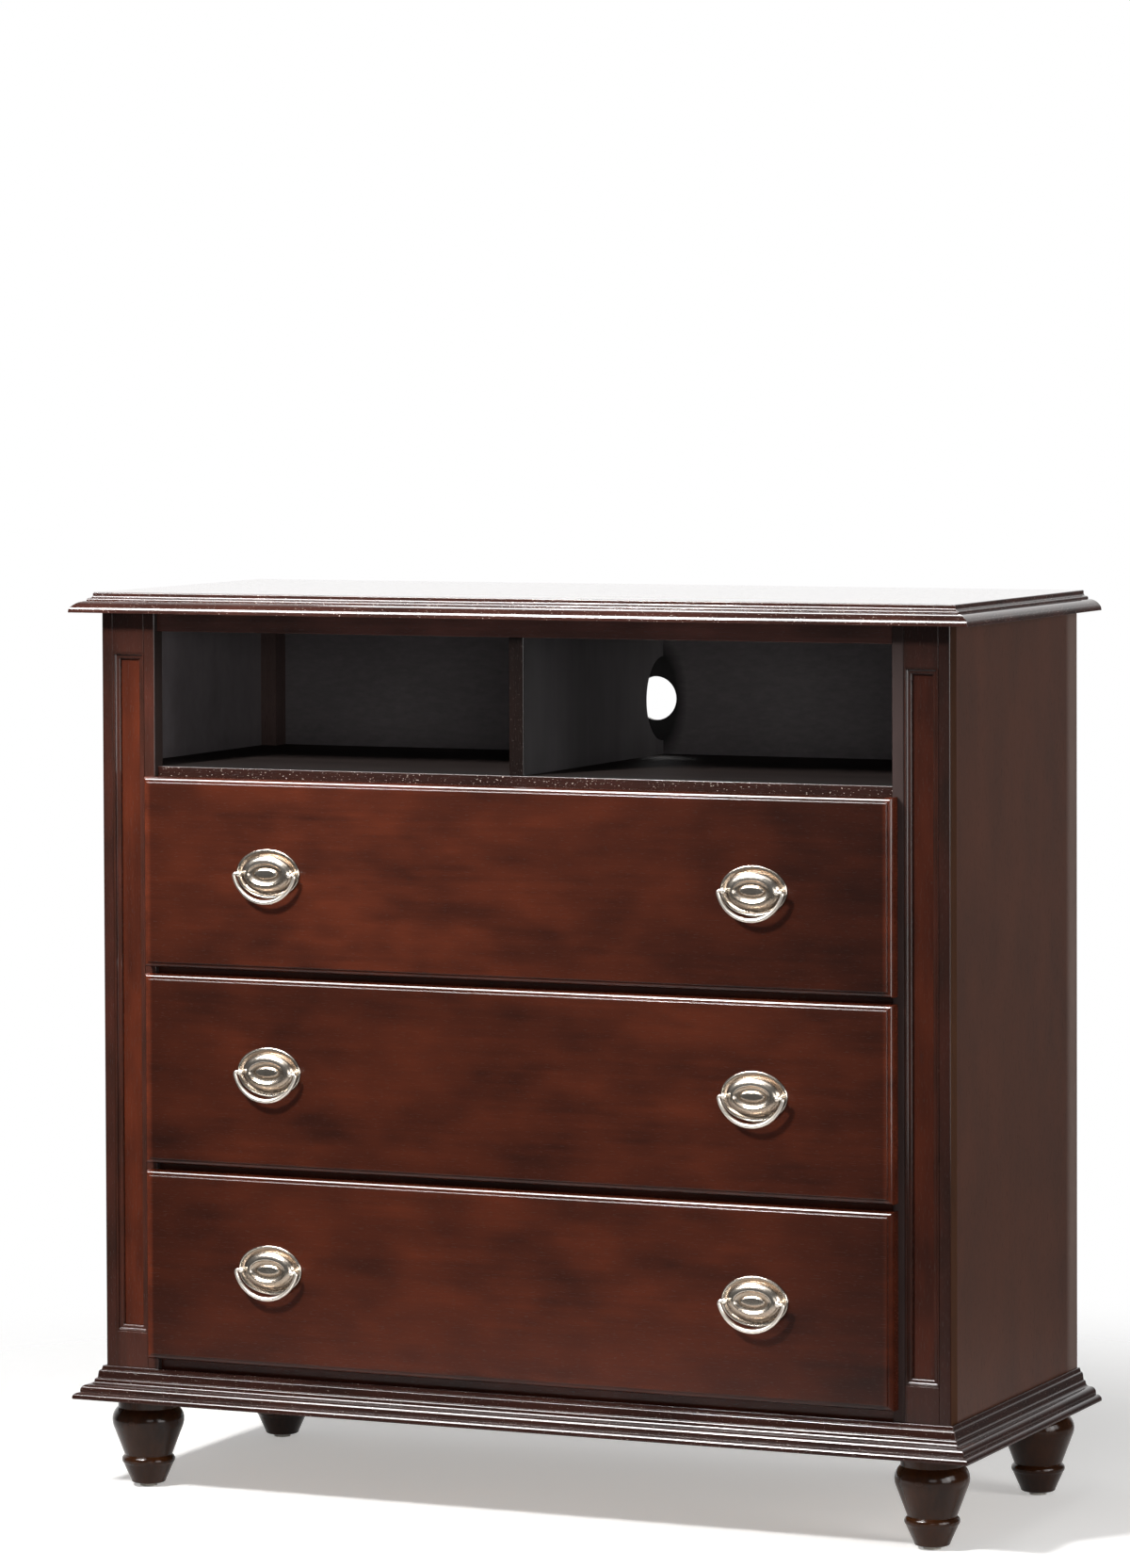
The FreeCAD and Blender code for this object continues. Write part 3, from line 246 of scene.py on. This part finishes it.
def hardboard():
    """Pressed hardboard with a sprayed stain: short matted fibres and a dull sheen.

    On the inner face a black painted shadow lies round the cable hole, where the corner behind the divider's
    notch is in shade.
    """
    material, tree = finish_of("stained_hardboard")
    mat = drift(tree, "X", *MAT, 2.0, 4.0, 0.65)
    cloud = drift(tree, "X", *BOARD_CLOUD, 6.0)
    tone = add(tree, "Math", cloud, 0.5, operation="MULTIPLY")
    tone = add(tree, "Math", mat, 0.5, tone, operation="MULTIPLY_ADD")
    tone = add(tree, "MapRange", tone, *CLOUD_RANGE, 0.0, 1.0)
    colour = add(tree, "MixRGB", tone, *map(linear, BOARD_TONES))
    # Painted shadow: the inner face is painted black round the cable hole
    where = add(tree, "TexCoord").outputs["Object"]
    wide, tall = HOLE_SHADOW_HALF
    hole = add(tree, "Mapping", where, Location=(0, 0, -HOLE_LEVEL / tall),
               Scale=(1 / (wide * MM), 0, 1 / (tall * MM)))
    away = add(tree, "VectorMath", hole, operation="LENGTH").outputs["Value"]
    rim = add(tree, "MapRange", away, *HOLE_SHADOW_EDGE, HOLE_SHADOW_SHARE, 0.0)
    depth = add(tree, "SeparateXYZ", where).outputs["Y"]
    inner = add(tree, "Math", depth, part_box("back_panel")[0][1] + 1 * MM, operation="LESS_THAN")
    stained = add(tree, "Math", rim, inner, operation="MULTIPLY")
    colour = add(tree, "MixRGB", stained, colour, linear(HOLE_SHADOW_TONE))
    bump = add(tree, "Bump", Strength=0.2, Distance=0.2 * MM, Height=mat)
    close(tree, add(tree, "BsdfPrincipled", colour, Roughness=0.55, IOR=SEAL_IOR, Normal=bump))
    return material


def nickel(name, bright, dull, rough):
    """Nickel plate over a polished stamping: warm grey metal, fine satin, a tan patina where it lies deep,
    and the same tan as a painted reflection on slopes that face down.
    """
    material, tree = finish_of(name)
    # The attribute holds the patina in the hollows and the painted reflection on slopes that face down
    deep = add(tree, "Attribute", attribute_name="patina_and_shade").outputs["Fac"]
    satin = drift(tree, "X", *SATIN, 1.0)
    cloud = drift(tree, "X", *TARNISH, 4.0)
    tarnish = add(tree, "MapRange", cloud, *CLOUD_RANGE, 0.0, TARNISH_SHARE)
    worn = add(tree, "MixRGB", tarnish, linear(bright), linear(dull))
    patina = add(tree, "Math", deep, PATINA_AND_SHADE_SHARE, operation="MULTIPLY")
    colour = add(tree, "MixRGB", patina, worn, linear(PATINA_AND_SHADE_TONE))
    gloss = add(tree, "MapRange", satin, *NOISE_RANGE, rough - 0.03, rough + 0.05)
    gloss = add(tree, "Math", deep, PATINA_ROUGHNESS, gloss, operation="MULTIPLY_ADD")
    close(tree, add(tree, "BsdfPrincipled", colour, Metallic=1.0, Roughness=gloss))
    return material


def zinc():
    """Zinc plated steel: cool grey with faint crystalline clouds."""
    material, tree = finish_of("zinc_steel")
    cloud = drift(tree, "Y", 9, 4, 3.0, 3.0)
    tone = add(tree, "MapRange", cloud, *CLOUD_RANGE, 0.0, 1.0)
    colour = add(tree, "MixRGB", tone, linear("#8f9194"), linear("#b9bbbd"))
    rough = add(tree, "MapRange", cloud, *NOISE_RANGE, 0.3, 0.45)
    close(tree, add(tree, "BsdfPrincipled", colour, Metallic=1.0, Roughness=rough))
    return material


def nylon():
    """Natural nylon, moulded: milky, faintly yellow and half matt."""
    material, tree = finish_of("nylon")
    cloud = drift(tree, "Z", 7, 7, 8.0, 2.0)
    tone = add(tree, "MapRange", cloud, *CLOUD_RANGE, 0.0, 1.0)
    colour = add(tree, "MixRGB", tone, linear("#d8d2c4"), linear("#e6e1d6"))
    rough = add(tree, "MapRange", cloud, *NOISE_RANGE, 0.42, 0.52)
    close(tree, add(tree, "BsdfPrincipled", colour, Roughness=rough, IOR=1.53))
    return material


def dress(material, *names):
    """Gives CAD nodes one finish."""
    for name in names:
        data = nodes[name].data
        data.materials.clear()
        data.materials.append(material)


# Stain tones: the broad fronts are the reddest, edges and turnings carry more glaze, insides are sprayed
FRONT_TONES = ("#5d2816", "#38170d")
CASE_TONES = ("#55281b", "#331912")
UPRIGHT_TONES = ("#532b21", "#352019")
EDGE_TONES = ("#3a1f18", "#261410")
LIP_TONES = ("#36221c", "#241612")
TURNED_TONES = ("#42230f", "#241207")
LINING_TONES = ("#9b9395", "#878082")
HEAD_TONES = ("#5e3a33", "#3c2621")
SIDE_TONES = ("#57301f", "#48281a")
TOP_TONES = ("#4a2b24", "#2e1b17")
SHELF_TONES = ("#3b3230", "#312a28")
DIVIDER_TONES = ("#848081", "#767273")
CORNER_TONES = ("#744a31", "#5f3b27")
RETURN_TONES = ("#463a37", "#3a302d")
POST_TONES = ("#705c57", "#604e4a")
# Painted shade with a painted grey reflection: the right pilaster's inner strip beside the drawers
STRIP_SHADE_TONES = ("#5c4a47", "#4b3d3a")
# Painted reflection: the pale grey of the sides' rear strip, where the backdrop shows in the gloss
REAR_REFLECTION_TONES = ("#7f6c64", "#77655d")

# Tone ramps: an axis, then places in mm with their levels. Each front runs from a lighter to a darker end, a
# painted fall-off of the key lamp's light, and the rounds at its two ends are painted paler, a painted
# reflection
FRONT_LIGHT_RAMPS = {
    "top": ("X", (-462, 1.7), (-455, 1.5), (-452, 0.78), (-342, 0.92), (-200, 1.13), (0, 0.81), (342, 0.52),
            (452, 0.35), (455, 0.9), (462, 1.1)),
    "middle": ("X", (-462, 1.6), (-455, 1.4), (-452, 0.54), (-342, 0.74), (0, 0.69), (200, 0.83), (342, 0.79),
               (452, 0.51), (455, 1.0), (462, 1.2)),
    "bottom": ("X", (-462, 1.5), (-455, 1.3), (-452, 0.48), (-342, 0.78), (0, 0.88), (200, 0.84), (342, 0.7),
               (452, 0.4), (455, 0.7), (462, 0.8)),
}
# Painted shade: the right pilaster darker where less light reaches it, and the left outer stile darker
UPRIGHT_SHADE_RAMP = ("X", (-524, 0.7), (-507, 0.76), (-503, 1.05), (-456, 1.1), (456, 0.6), (503, 0.6), (507, 0.5),
                (524, 0.45))
# Painted shade: the right pilaster's panel darker than the left, where less light reaches it
PANEL_SHADE_RAMP = ("X", (-524, 1.22), (-456, 1.18), (456, 0.6), (524, 0.58))
# Painted shadow: the upper ends of the pilasters, beads and panels darker under the top's overhang
HEAD_SHADOW_RAMP = ("Z", (150, 1.0), (830, 1.0), (930, 0.85), (1001, 0.55))
# Painted shade and light: the divider darker at its lit front and lighter towards the dim rear
DIVIDER_LIGHT_RAMP = ("Y", (-190, 0.25), (-60, 0.6), (200, 1.8))
SIDE_RAMP = ("Y", (-196, 0.9), (-120, 1.0), (224, 1.0))
shelf_front, shelf_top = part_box("media_shelf")[0][1] / MM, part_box("media_shelf")[1][2] / MM
# Painted shade and light: the cubby floor darker behind its front edge and lighter towards the rear
SHELF_LIGHT_RAMP = ("Y", (shelf_front, 1.0), (shelf_front + 1, 1.0), (shelf_front + 3, 0.5), (0, 0.8), (210, 1.6))

# Linings: an axis, start and end in mm, two tones, and the fade of the edge
divider_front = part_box("shelf_divider")[0][1] / MM
# The first side lining is a painted reflection: a pale grey strip along the rear edge
SIDE_LININGS = [("Y", 186, 262, *REAR_REFLECTION_TONES, 16), ("X", -512.5, 512.5, *LINING_TONES, HARD_EDGE)]
UPRIGHT_LININGS = [("X", -456.3, 456.3, *RETURN_TONES, HARD_EDGE),
                   # Painted shade on the right pilaster's inner strip beside the drawers
                   ("X", 456.3, 469.9, *STRIP_SHADE_TONES, HARD_EDGE),
                   ("X", 523.7, 524.3, *CORNER_TONES, HARD_EDGE)]
SHELF_LININGS = [("Z", shelf_top - 0.5, shelf_top + 0.5, *SHELF_TONES, HARD_EDGE)]
DIVIDER_LININGS = [("Y", divider_front + 2, 250, *DIVIDER_TONES, HARD_EDGE)]

# Secondary woods: light and dark tones
FRAME_WOOD, BOX_WOOD, PLYWOOD = ("#a9835a", "#7d5a38"), ("#c39a68", "#a07647"), ("#cfaa79", "#b48b58")

# The number after the grain's axis shifts the pattern, so that no two finishes repeat it
for place, (drawer, ramp) in enumerate(FRONT_LIGHT_RAMPS.items()):
    dress(cherry(f"cherry_front_{drawer}", "X", 11.0 + 7 * place, *FRONT_TONES, shading=[ramp]),
          f"drawer_{drawer}_front")
dress(cherry("cherry_top", "X", 41.0, *TOP_TONES, 0.1, specks=0.6), "top_panel")
dress(cherry("cherry_sides", "Z", 53.0, *SIDE_TONES, 0.36, shading=[SIDE_RAMP], weave=(13, 9), ior=1.25,
             linings=SIDE_LININGS), "side_panel_left", "side_panel_right")
dress(cherry("cherry_uprights", "Z", 61.0, *UPRIGHT_TONES, shading=[UPRIGHT_SHADE_RAMP, HEAD_SHADOW_RAMP],
             linings=UPRIGHT_LININGS), "pilaster_left", "pilaster_right")
dress(cherry("cherry_beads", "Z", 62.0, *UPRIGHT_TONES, shading=[UPRIGHT_SHADE_RAMP, HEAD_SHADOW_RAMP]),
      "pilaster_mouldings")
dress(cherry("cherry_posts", "Z", 65.0, *POST_TONES, 0.5), "rear_posts")
dress(cherry("cherry_panels", "Z", 63.0, *FRONT_TONES, shading=[PANEL_SHADE_RAMP, HEAD_SHADOW_RAMP]), "pilaster_panels")
dress(cherry("cherry_rails", "X", 67.0, *CASE_TONES), "drawer_rails", "bottom_rail")
dress(cherry("cherry_head", "X", 66.0, *HEAD_TONES, relief=0.05), "top_rail")
dress(cherry("cherry_base", "X", 68.0, *EDGE_TONES, specks=0.3), "base_moulding_front")
dress(cherry("cherry_shelf", "X", 69.0, *EDGE_TONES, specks=0.9, shading=[SHELF_LIGHT_RAMP], linings=SHELF_LININGS),
      "media_shelf")
dress(cherry("cherry_divider", "Z", 71.0, *LIP_TONES, specks=0.3, shading=[DIVIDER_LIGHT_RAMP],
             linings=DIVIDER_LININGS), "shelf_divider")
dress(cherry("cherry_returns", "Y", 73.0, *EDGE_TONES, specks=0.2),
      "base_moulding_left", "base_moulding_right")
dress(cherry("cherry_turned", "Z", 79.0, *TURNED_TONES, 0.36, ior=1.28),
      *(f"foot_{end}_{side}" for end in ("front", "rear") for side in ("left", "right")))
dress(hardboard(), "back_panel")
dress(box_wood("frame_wood", "X", 83.0, *FRAME_WOOD), "rear_rails", "bottom_panel")
dress(zinc(), "foot_bolts", "glide_tracks", *(f"drawer_{d}_pull_screws" for d in DRAWERS))
dress(nylon(), "foot_glides", "tack_glides", *(f"drawer_{d}_guide" for d in DRAWERS))
dress(box_wood("box_wood_long", "X", 89.0, *BOX_WOOD),
      *(f"drawer_{d}_{p}" for d in DRAWERS for p in ("box_front", "back")))
dress(box_wood("box_wood_sides", "Y", 97.0, *BOX_WOOD), *(f"drawer_{d}_sides" for d in DRAWERS))
dress(box_wood("box_plywood", "X", 103.0, *PLYWOOD), *(f"drawer_{d}_bottom" for d in DRAWERS))
# The plates' nickel is painted darker so their lit parts hold, and the bails and posts get a paler copy that
# paints in their bright highlights
satin_nickel = nickel("satin_nickel", "#a9a197", "#8d8479", 0.2)
dress(nickel("nickel_painted_bright", "#ddd6cc", "#c2b9ad", 0.3),
      *(f"drawer_{d}_{p}" for d in DRAWERS for p in ("pull_posts", "bail_left", "bail_right")))

# The oval plate in mm: half sizes, then its rings from the rim inwards
PLATE_HALF = (40.0, 28.2)
RIM_EDGE, RIM_RADIUS = 1.0, 1.3
BAND_WIDTH, BAND_RIM, BAND_LEVEL = 4.4, 2.0, 0.7
DOME_WIDTH, DOME_HEIGHT = 11.0, 9.0
BOWL_WIDTH, BOWL_LEVEL = 7.0, 6.0
BOSS_WIDTH, BOSS_HEIGHT = 4.0, 8.0
BOSS_HALF_HEIGHT = 2.7

# Points along each round and across the band; the flutes' number, points, height and sharpness, and the inset
# at which they are spaced evenly
ROUND_STEPS, BAND_STEPS = 13, 10
FLUTES, FLUTE_STEPS, FLUTE_HEIGHT, FLUTE_POWER = 104, 6, 0.3, 0.8
FLUTE_INSET = 4

# Patina: how it falls off from the hollows and the slopes, its wear on a flute's ridge, and the share of
# painted reflection on slopes that face down
HOLLOW_POWER, LEAN_POWER, SOFT_POWER = 6, 0.3, 0.5
RIDGE_WEAR, SHADE_SLOPE_SHARE = 0.4, 0.85


def plate_profile():
    """The plate from its edge to its middle: inset, height, how deep each point lies, 0 to 1, and its lean.

    Half circle at the rim that ends on the band, a straight band that falls inwards, a quarter ellipse up to
    the crest, a quarter ellipse down into the bowl and one up on to the boss. The lean is 1 where the plate
    rises inwards, -1 where it falls.
    """
    half, quarter = np.linspace(0, np.pi, ROUND_STEPS), np.linspace(0, np.pi / 2, ROUND_STEPS)[1:]
    band = np.linspace(0, 1, BAND_STEPS)[1:]
    groove = 2 * RIM_RADIUS + BAND_WIDTH
    crest, bowl = groove + DOME_WIDTH, groove + DOME_WIDTH + BOWL_WIDTH
    inset = [RIM_RADIUS * (1 - np.cos(half)), 2 * RIM_RADIUS + BAND_WIDTH * band,
             groove + DOME_WIDTH * (1 - np.cos(quarter)), crest + BOWL_WIDTH * (1 - np.cos(quarter)),
             bowl + BOSS_WIDTH * (1 - np.cos(quarter))]
    height = [RIM_EDGE + np.maximum(RIM_RADIUS * np.sin(half), (BAND_RIM - RIM_EDGE) * (half > np.pi / 2)),
              BAND_RIM + (BAND_LEVEL - BAND_RIM) * band,
              BAND_LEVEL + (DOME_HEIGHT - BAND_LEVEL) * np.sin(quarter),
              DOME_HEIGHT - (DOME_HEIGHT - BOWL_LEVEL) * np.sin(quarter),
              BOWL_LEVEL + (BOSS_HEIGHT - BOWL_LEVEL) * np.sin(quarter)]
    at_start, at_end = np.cos(quarter) ** HOLLOW_POWER, np.sin(quarter) ** HOLLOW_POWER
    slope = np.cos(quarter) ** LEAN_POWER
    deep = [0 * half, np.sin(np.pi * band) ** SOFT_POWER, at_start, at_end, at_start]
    lean = [0 * half, -1 + 0 * band, slope, -slope, slope]
    return tuple(map(np.concatenate, (inset, height, deep, lean)))


def even_angles(wide, tall, count):
    """Angles that part an ellipse into equal lengths, found from its summed chord lengths."""
    angle = np.linspace(0, 2 * np.pi, 4001)
    chord = np.hypot(np.diff(wide * np.cos(angle)), np.diff(tall * np.sin(angle)))
    along = np.concatenate([[0], np.cumsum(chord)]) / chord.sum()
    return np.interp(np.arange(count) / count, along, angle)


def pull_plates(drawer):
    """Both stamped plates of a drawer: ovals that shrink with the profile's inset, fluted in the band.

    x = (a - s) cos t, z = (b - k s) sin t, y = face - h - flute height * |cos(pi * flutes * u)| ^ power in
    the band, with s the inset, h the height and u the share of the oval's length. Each plate closes in a
    middle line and has a flat back. Patina lies in the hollows; on the slopes that face down the same tan
    is a painted reflection of the brown wood beneath.
    """
    low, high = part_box(f"drawer_{drawer}_pull_plates")
    inset, height, deep, lean = plate_profile()
    wide, tall = PLATE_HALF
    narrowing = (tall - BOSS_HALF_HEIGHT) / inset[-1]
    count = FLUTES * FLUTE_STEPS
    turn = even_angles(wide - FLUTE_INSET, tall - FLUTE_INSET, count)
    window = np.where((inset > 2 * RIM_RADIUS) & (inset <= 2 * RIM_RADIUS + BAND_WIDTH), deep, 0)
    ridge = np.abs(np.cos(np.pi * FLUTES * np.arange(count) / count)) ** FLUTE_POWER
    x = np.outer(wide - inset, np.cos(turn))
    z = np.outer(tall - narrowing * inset, np.sin(turn))
    h = height[:, None] + FLUTE_HEIGHT * np.outer(window, ridge)
    patina_and_shade = deep[:, None] * np.where(window[:, None] > 0, 1 - RIDGE_WEAR * ridge, 1)
    # Painted reflection: slopes that face down get the patina's tan, for the brown wood beneath
    downward_shade = np.clip(np.outer(-lean, np.sin(turn)), 0, 1) ** SOFT_POWER
    patina_and_shade = np.maximum(patina_and_shade, SHADE_SLOPE_SHARE * downward_shade)
    back = np.stack([x[:1], 0 * x[:1], z[:1]], -1)
    rings = np.concatenate([back, np.stack([x, h, z], -1)])
    patina_and_shade = np.concatenate([0 * patina_and_shade[:1], patina_and_shade])
    rows = len(rings)
    one = np.arange(rows * count).reshape(rows, count)
    ahead = np.roll(one, -1, axis=1)
    quads = np.stack([one[:-1], one[1:], ahead[1:], ahead[:-1]], -1).reshape(-1, 4)
    middles = np.array([rows * count, rows * count + 1])
    fans = np.concatenate([np.stack([one[-1], np.full(count, middles[0]), ahead[-1]], -1),
                           np.stack([ahead[0], np.full(count, middles[1]), one[0]], -1)])
    points = np.concatenate([rings.reshape(-1, 3), [[0, height[-1], 0], [0, 0, 0]]])
    depth = np.concatenate([patina_and_shade.ravel(), [0, 0]])
    verts, faces, depths = [], [], []
    face_y, level = high[1], (low[2] + high[2]) / 2
    for centre in (low[0] + wide * MM, high[0] - wide * MM):
        start = sum(len(v) for v in verts)
        verts.append(points * (MM, -MM, MM) + (centre, face_y, level))
        faces += (quads + start).tolist() + (fans + start).tolist()
        depths.append(depth)
    mesh = bpy.data.meshes.new(f"fluted_plates_{drawer}")
    mesh.from_pydata(np.concatenate(verts), [], faces)
    mesh.shade_smooth()
    mesh.attributes.new("patina_and_shade", "FLOAT", "POINT").data.foreach_set("value", np.concatenate(depths))
    mesh.materials.append(satin_nickel)
    piece = bpy.data.objects.new(mesh.name, mesh)
    bpy.context.scene.collection.objects.link(piece)
    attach(piece, f"drawer_{drawer}")
    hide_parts(f"drawer_{drawer}_pull_plates")


for drawer in DRAWERS:
    pull_plates(drawer)

# Floor: the distances in m between which it thins out, its half size and glow, its paper and what it bounces
FLOOR_FADE, FLOOR_HALF, FLOOR_GLOW = (0.65, 1.6), 4, 0.4
PAPER_CLOUD, PAPER_TONES, BOUNCE_TONE = (300, 300), ("#f3f2f0", "#f8f7f5"), "#b2b0ae"

# Backdrop: its direction, the cosines between which it begins, and its level in gloss; then the dim room,
# from the front to the rear, and the soft light on matt faces
BACKDROP_WAY, BACKDROP_REACH, BACKDROP_LEVEL = (-0.555, 0.807, 0.202), (0.55, 0.9), 1.18
ROOM_REACH, ROOM_LEVELS, ROOM_LIGHT = (-0.5, 0.1), (0.16, 0.1), (0.16, 0.16, 0.165, 1)

# Soft boxes: name, place, target, width and height in m, watts, and whether only gloss sees it
LAMPS = (
    ("key", (-0.75, -1.9, 2.3), (0, -0.2, 0.55), 0.3, 0.3, 76, False),
    ("overhead", (0.0, -1.3, 3.0), (0, -0.2, 0.8), 2.4, 1.0, 16, False),
    ("fill", (2.2, -4.2, 1.05), (0.0, 0.2, 0.92), 1.6, 1.2, 21, False),
    ("side", (3.4, -0.6, 1.2), (0.5, 0.0, 0.6), 1.4, 1.4, 40, False),
    ("front_strip", (-1.15, -1.7, 3.0), (-0.4, -0.3, 0.5), 1.8, 1.6, 540, True),
    ("right_strip", (3.3, -1.5, 1.0), (0.45, -0.2, 0.6), 1.6, 2.0, 80, True),
    ("rear_strip", (-0.3, 1.8, 2.8), (0, 0.1, 1.0), 2.4, 1.2, 110, True),
)


def studio_floor():
    """A pale floor that thins out to the white backdrop between two distances from the chest."""
    material, tree = finish_of("floor_paper")
    where = add(tree, "TexCoord").outputs["Object"]
    away = add(tree, "VectorMath", where, operation="LENGTH").outputs["Value"]
    gone = add(tree, "MapRange", away, *FLOOR_FADE, 0.0, 1.0, interpolation_type="SMOOTHSTEP")
    paper = add(tree, "MixRGB", drift(tree, "X", *PAPER_CLOUD, 5.0), *map(linear, PAPER_TONES))
    rays = add(tree, "LightPath").outputs
    shown = add(tree, "Math", rays["Is Camera Ray"], rays["Is Transmission Ray"], operation="MAXIMUM")
    shown = add(tree, "Math", shown, rays["Is Glossy Ray"], operation="MAXIMUM")
    matt = add(tree, "BsdfDiffuse", add(tree, "MixRGB", shown, linear(BOUNCE_TONE), paper))
    glow = add(tree, "Emission", paper, add(tree, "Math", shown, FLOOR_GLOW, operation="MULTIPLY"))
    lifted = add(tree, "AddShader", matt, glow)
    close(tree, add(tree, "MixShader", gone, lifted, add(tree, "BsdfTransparent")))
    mesh = bpy.data.meshes.new("floor")
    corners = [(FLOOR_HALF * x, FLOOR_HALF * y, 0) for x, y in ((-1, -1), (1, -1), (1, 1), (-1, 1))]
    mesh.from_pydata(corners, [], [(0, 1, 2, 3)])
    mesh.materials.append(material)
    floor = bpy.data.objects.new("floor", mesh)
    bpy.context.scene.collection.objects.link(floor)


def studio_world():
    """White for the camera, a backdrop and a dim room for gloss and glass, soft grey light for the rest."""
    world = bpy.data.worlds.new("studio")
    bpy.context.scene.world = world
    world.use_nodes = True
    tree = world.node_tree
    tree.nodes.clear()
    rays = add(tree, "LightPath").outputs
    ahead = add(tree, "TexCoord").outputs["Generated"]
    backed = add(tree, "VectorMath", ahead, BACKDROP_WAY, operation="DOT_PRODUCT").outputs["Value"]
    sweep = add(tree, "MapRange", backed, *BACKDROP_REACH, 0.0, BACKDROP_LEVEL,
                interpolation_type="SMOOTHSTEP")
    room = add(tree, "MapRange", add(tree, "SeparateXYZ", ahead).outputs["Y"], *ROOM_REACH, *ROOM_LEVELS)
    mirrored = add(tree, "Math", sweep, room, operation="ADD")
    glossy = add(tree, "Math", rays["Is Glossy Ray"], rays["Is Transmission Ray"], operation="MAXIMUM")
    unseen = add(tree, "MixRGB", glossy, ROOM_LIGHT, mirrored)
    seen = add(tree, "MixRGB", rays["Is Camera Ray"], unseen, (1, 1, 1, 1))
    add(tree, "OutputWorld", add(tree, "Background", seen, 1.0))


def lamp(name, at, target, wide, tall, watts, gloss_only):
    """A rectangular soft box aimed at a point; a strip for gloss only draws the bright lines along edges."""
    light = bpy.data.lights.new(name, "AREA")
    light.shape = "RECTANGLE"
    light.size, light.size_y, light.energy = wide, tall, watts
    box = bpy.data.objects.new(name, light)
    box.location = at
    box.visible_diffuse = not gloss_only
    box.rotation_euler = (Vector(target) - Vector(at)).to_track_quat("-Z", "Y").to_euler()
    bpy.context.scene.collection.objects.link(box)


def camera():
    """The photograph's camera: place, turn and focal length fitted to the chest's corners."""
    place = (2.84782, -6.46402, 1.32868)
    yaw, pitch, roll = 0.4179, 0.0385, -0.0038
    focal_px, centre_px, image = 6498.66, 618.37, (1200, 1665)
    ahead = Vector((-math.sin(yaw) * math.cos(pitch), math.cos(yaw) * math.cos(pitch), -math.sin(pitch)))
    right = Vector((math.cos(yaw), math.sin(yaw), 0))
    up = right.cross(ahead)
    rolled = math.cos(roll) * right + math.sin(roll) * up
    upright = math.cos(roll) * up - math.sin(roll) * right
    data = bpy.data.cameras.new("photo_view")
    data.sensor_fit, data.sensor_width = "HORIZONTAL", 36
    data.lens = focal_px / image[0] * data.sensor_width
    data.shift_y = -(image[1] / 2 - centre_px) / image[0]
    data.clip_end = 100
    view = bpy.data.objects.new("photo_view", data)
    turn = Matrix((rolled, upright, -ahead)).transposed()
    view.matrix_world = Matrix.Translation(place) @ turn.to_4x4()
    bpy.context.scene.collection.objects.link(view)
    bpy.context.scene.camera = view


studio_floor()
studio_world()
for setting in LAMPS:
    lamp(*setting)
camera()
bpy.context.scene.view_settings.view_transform = "Standard"
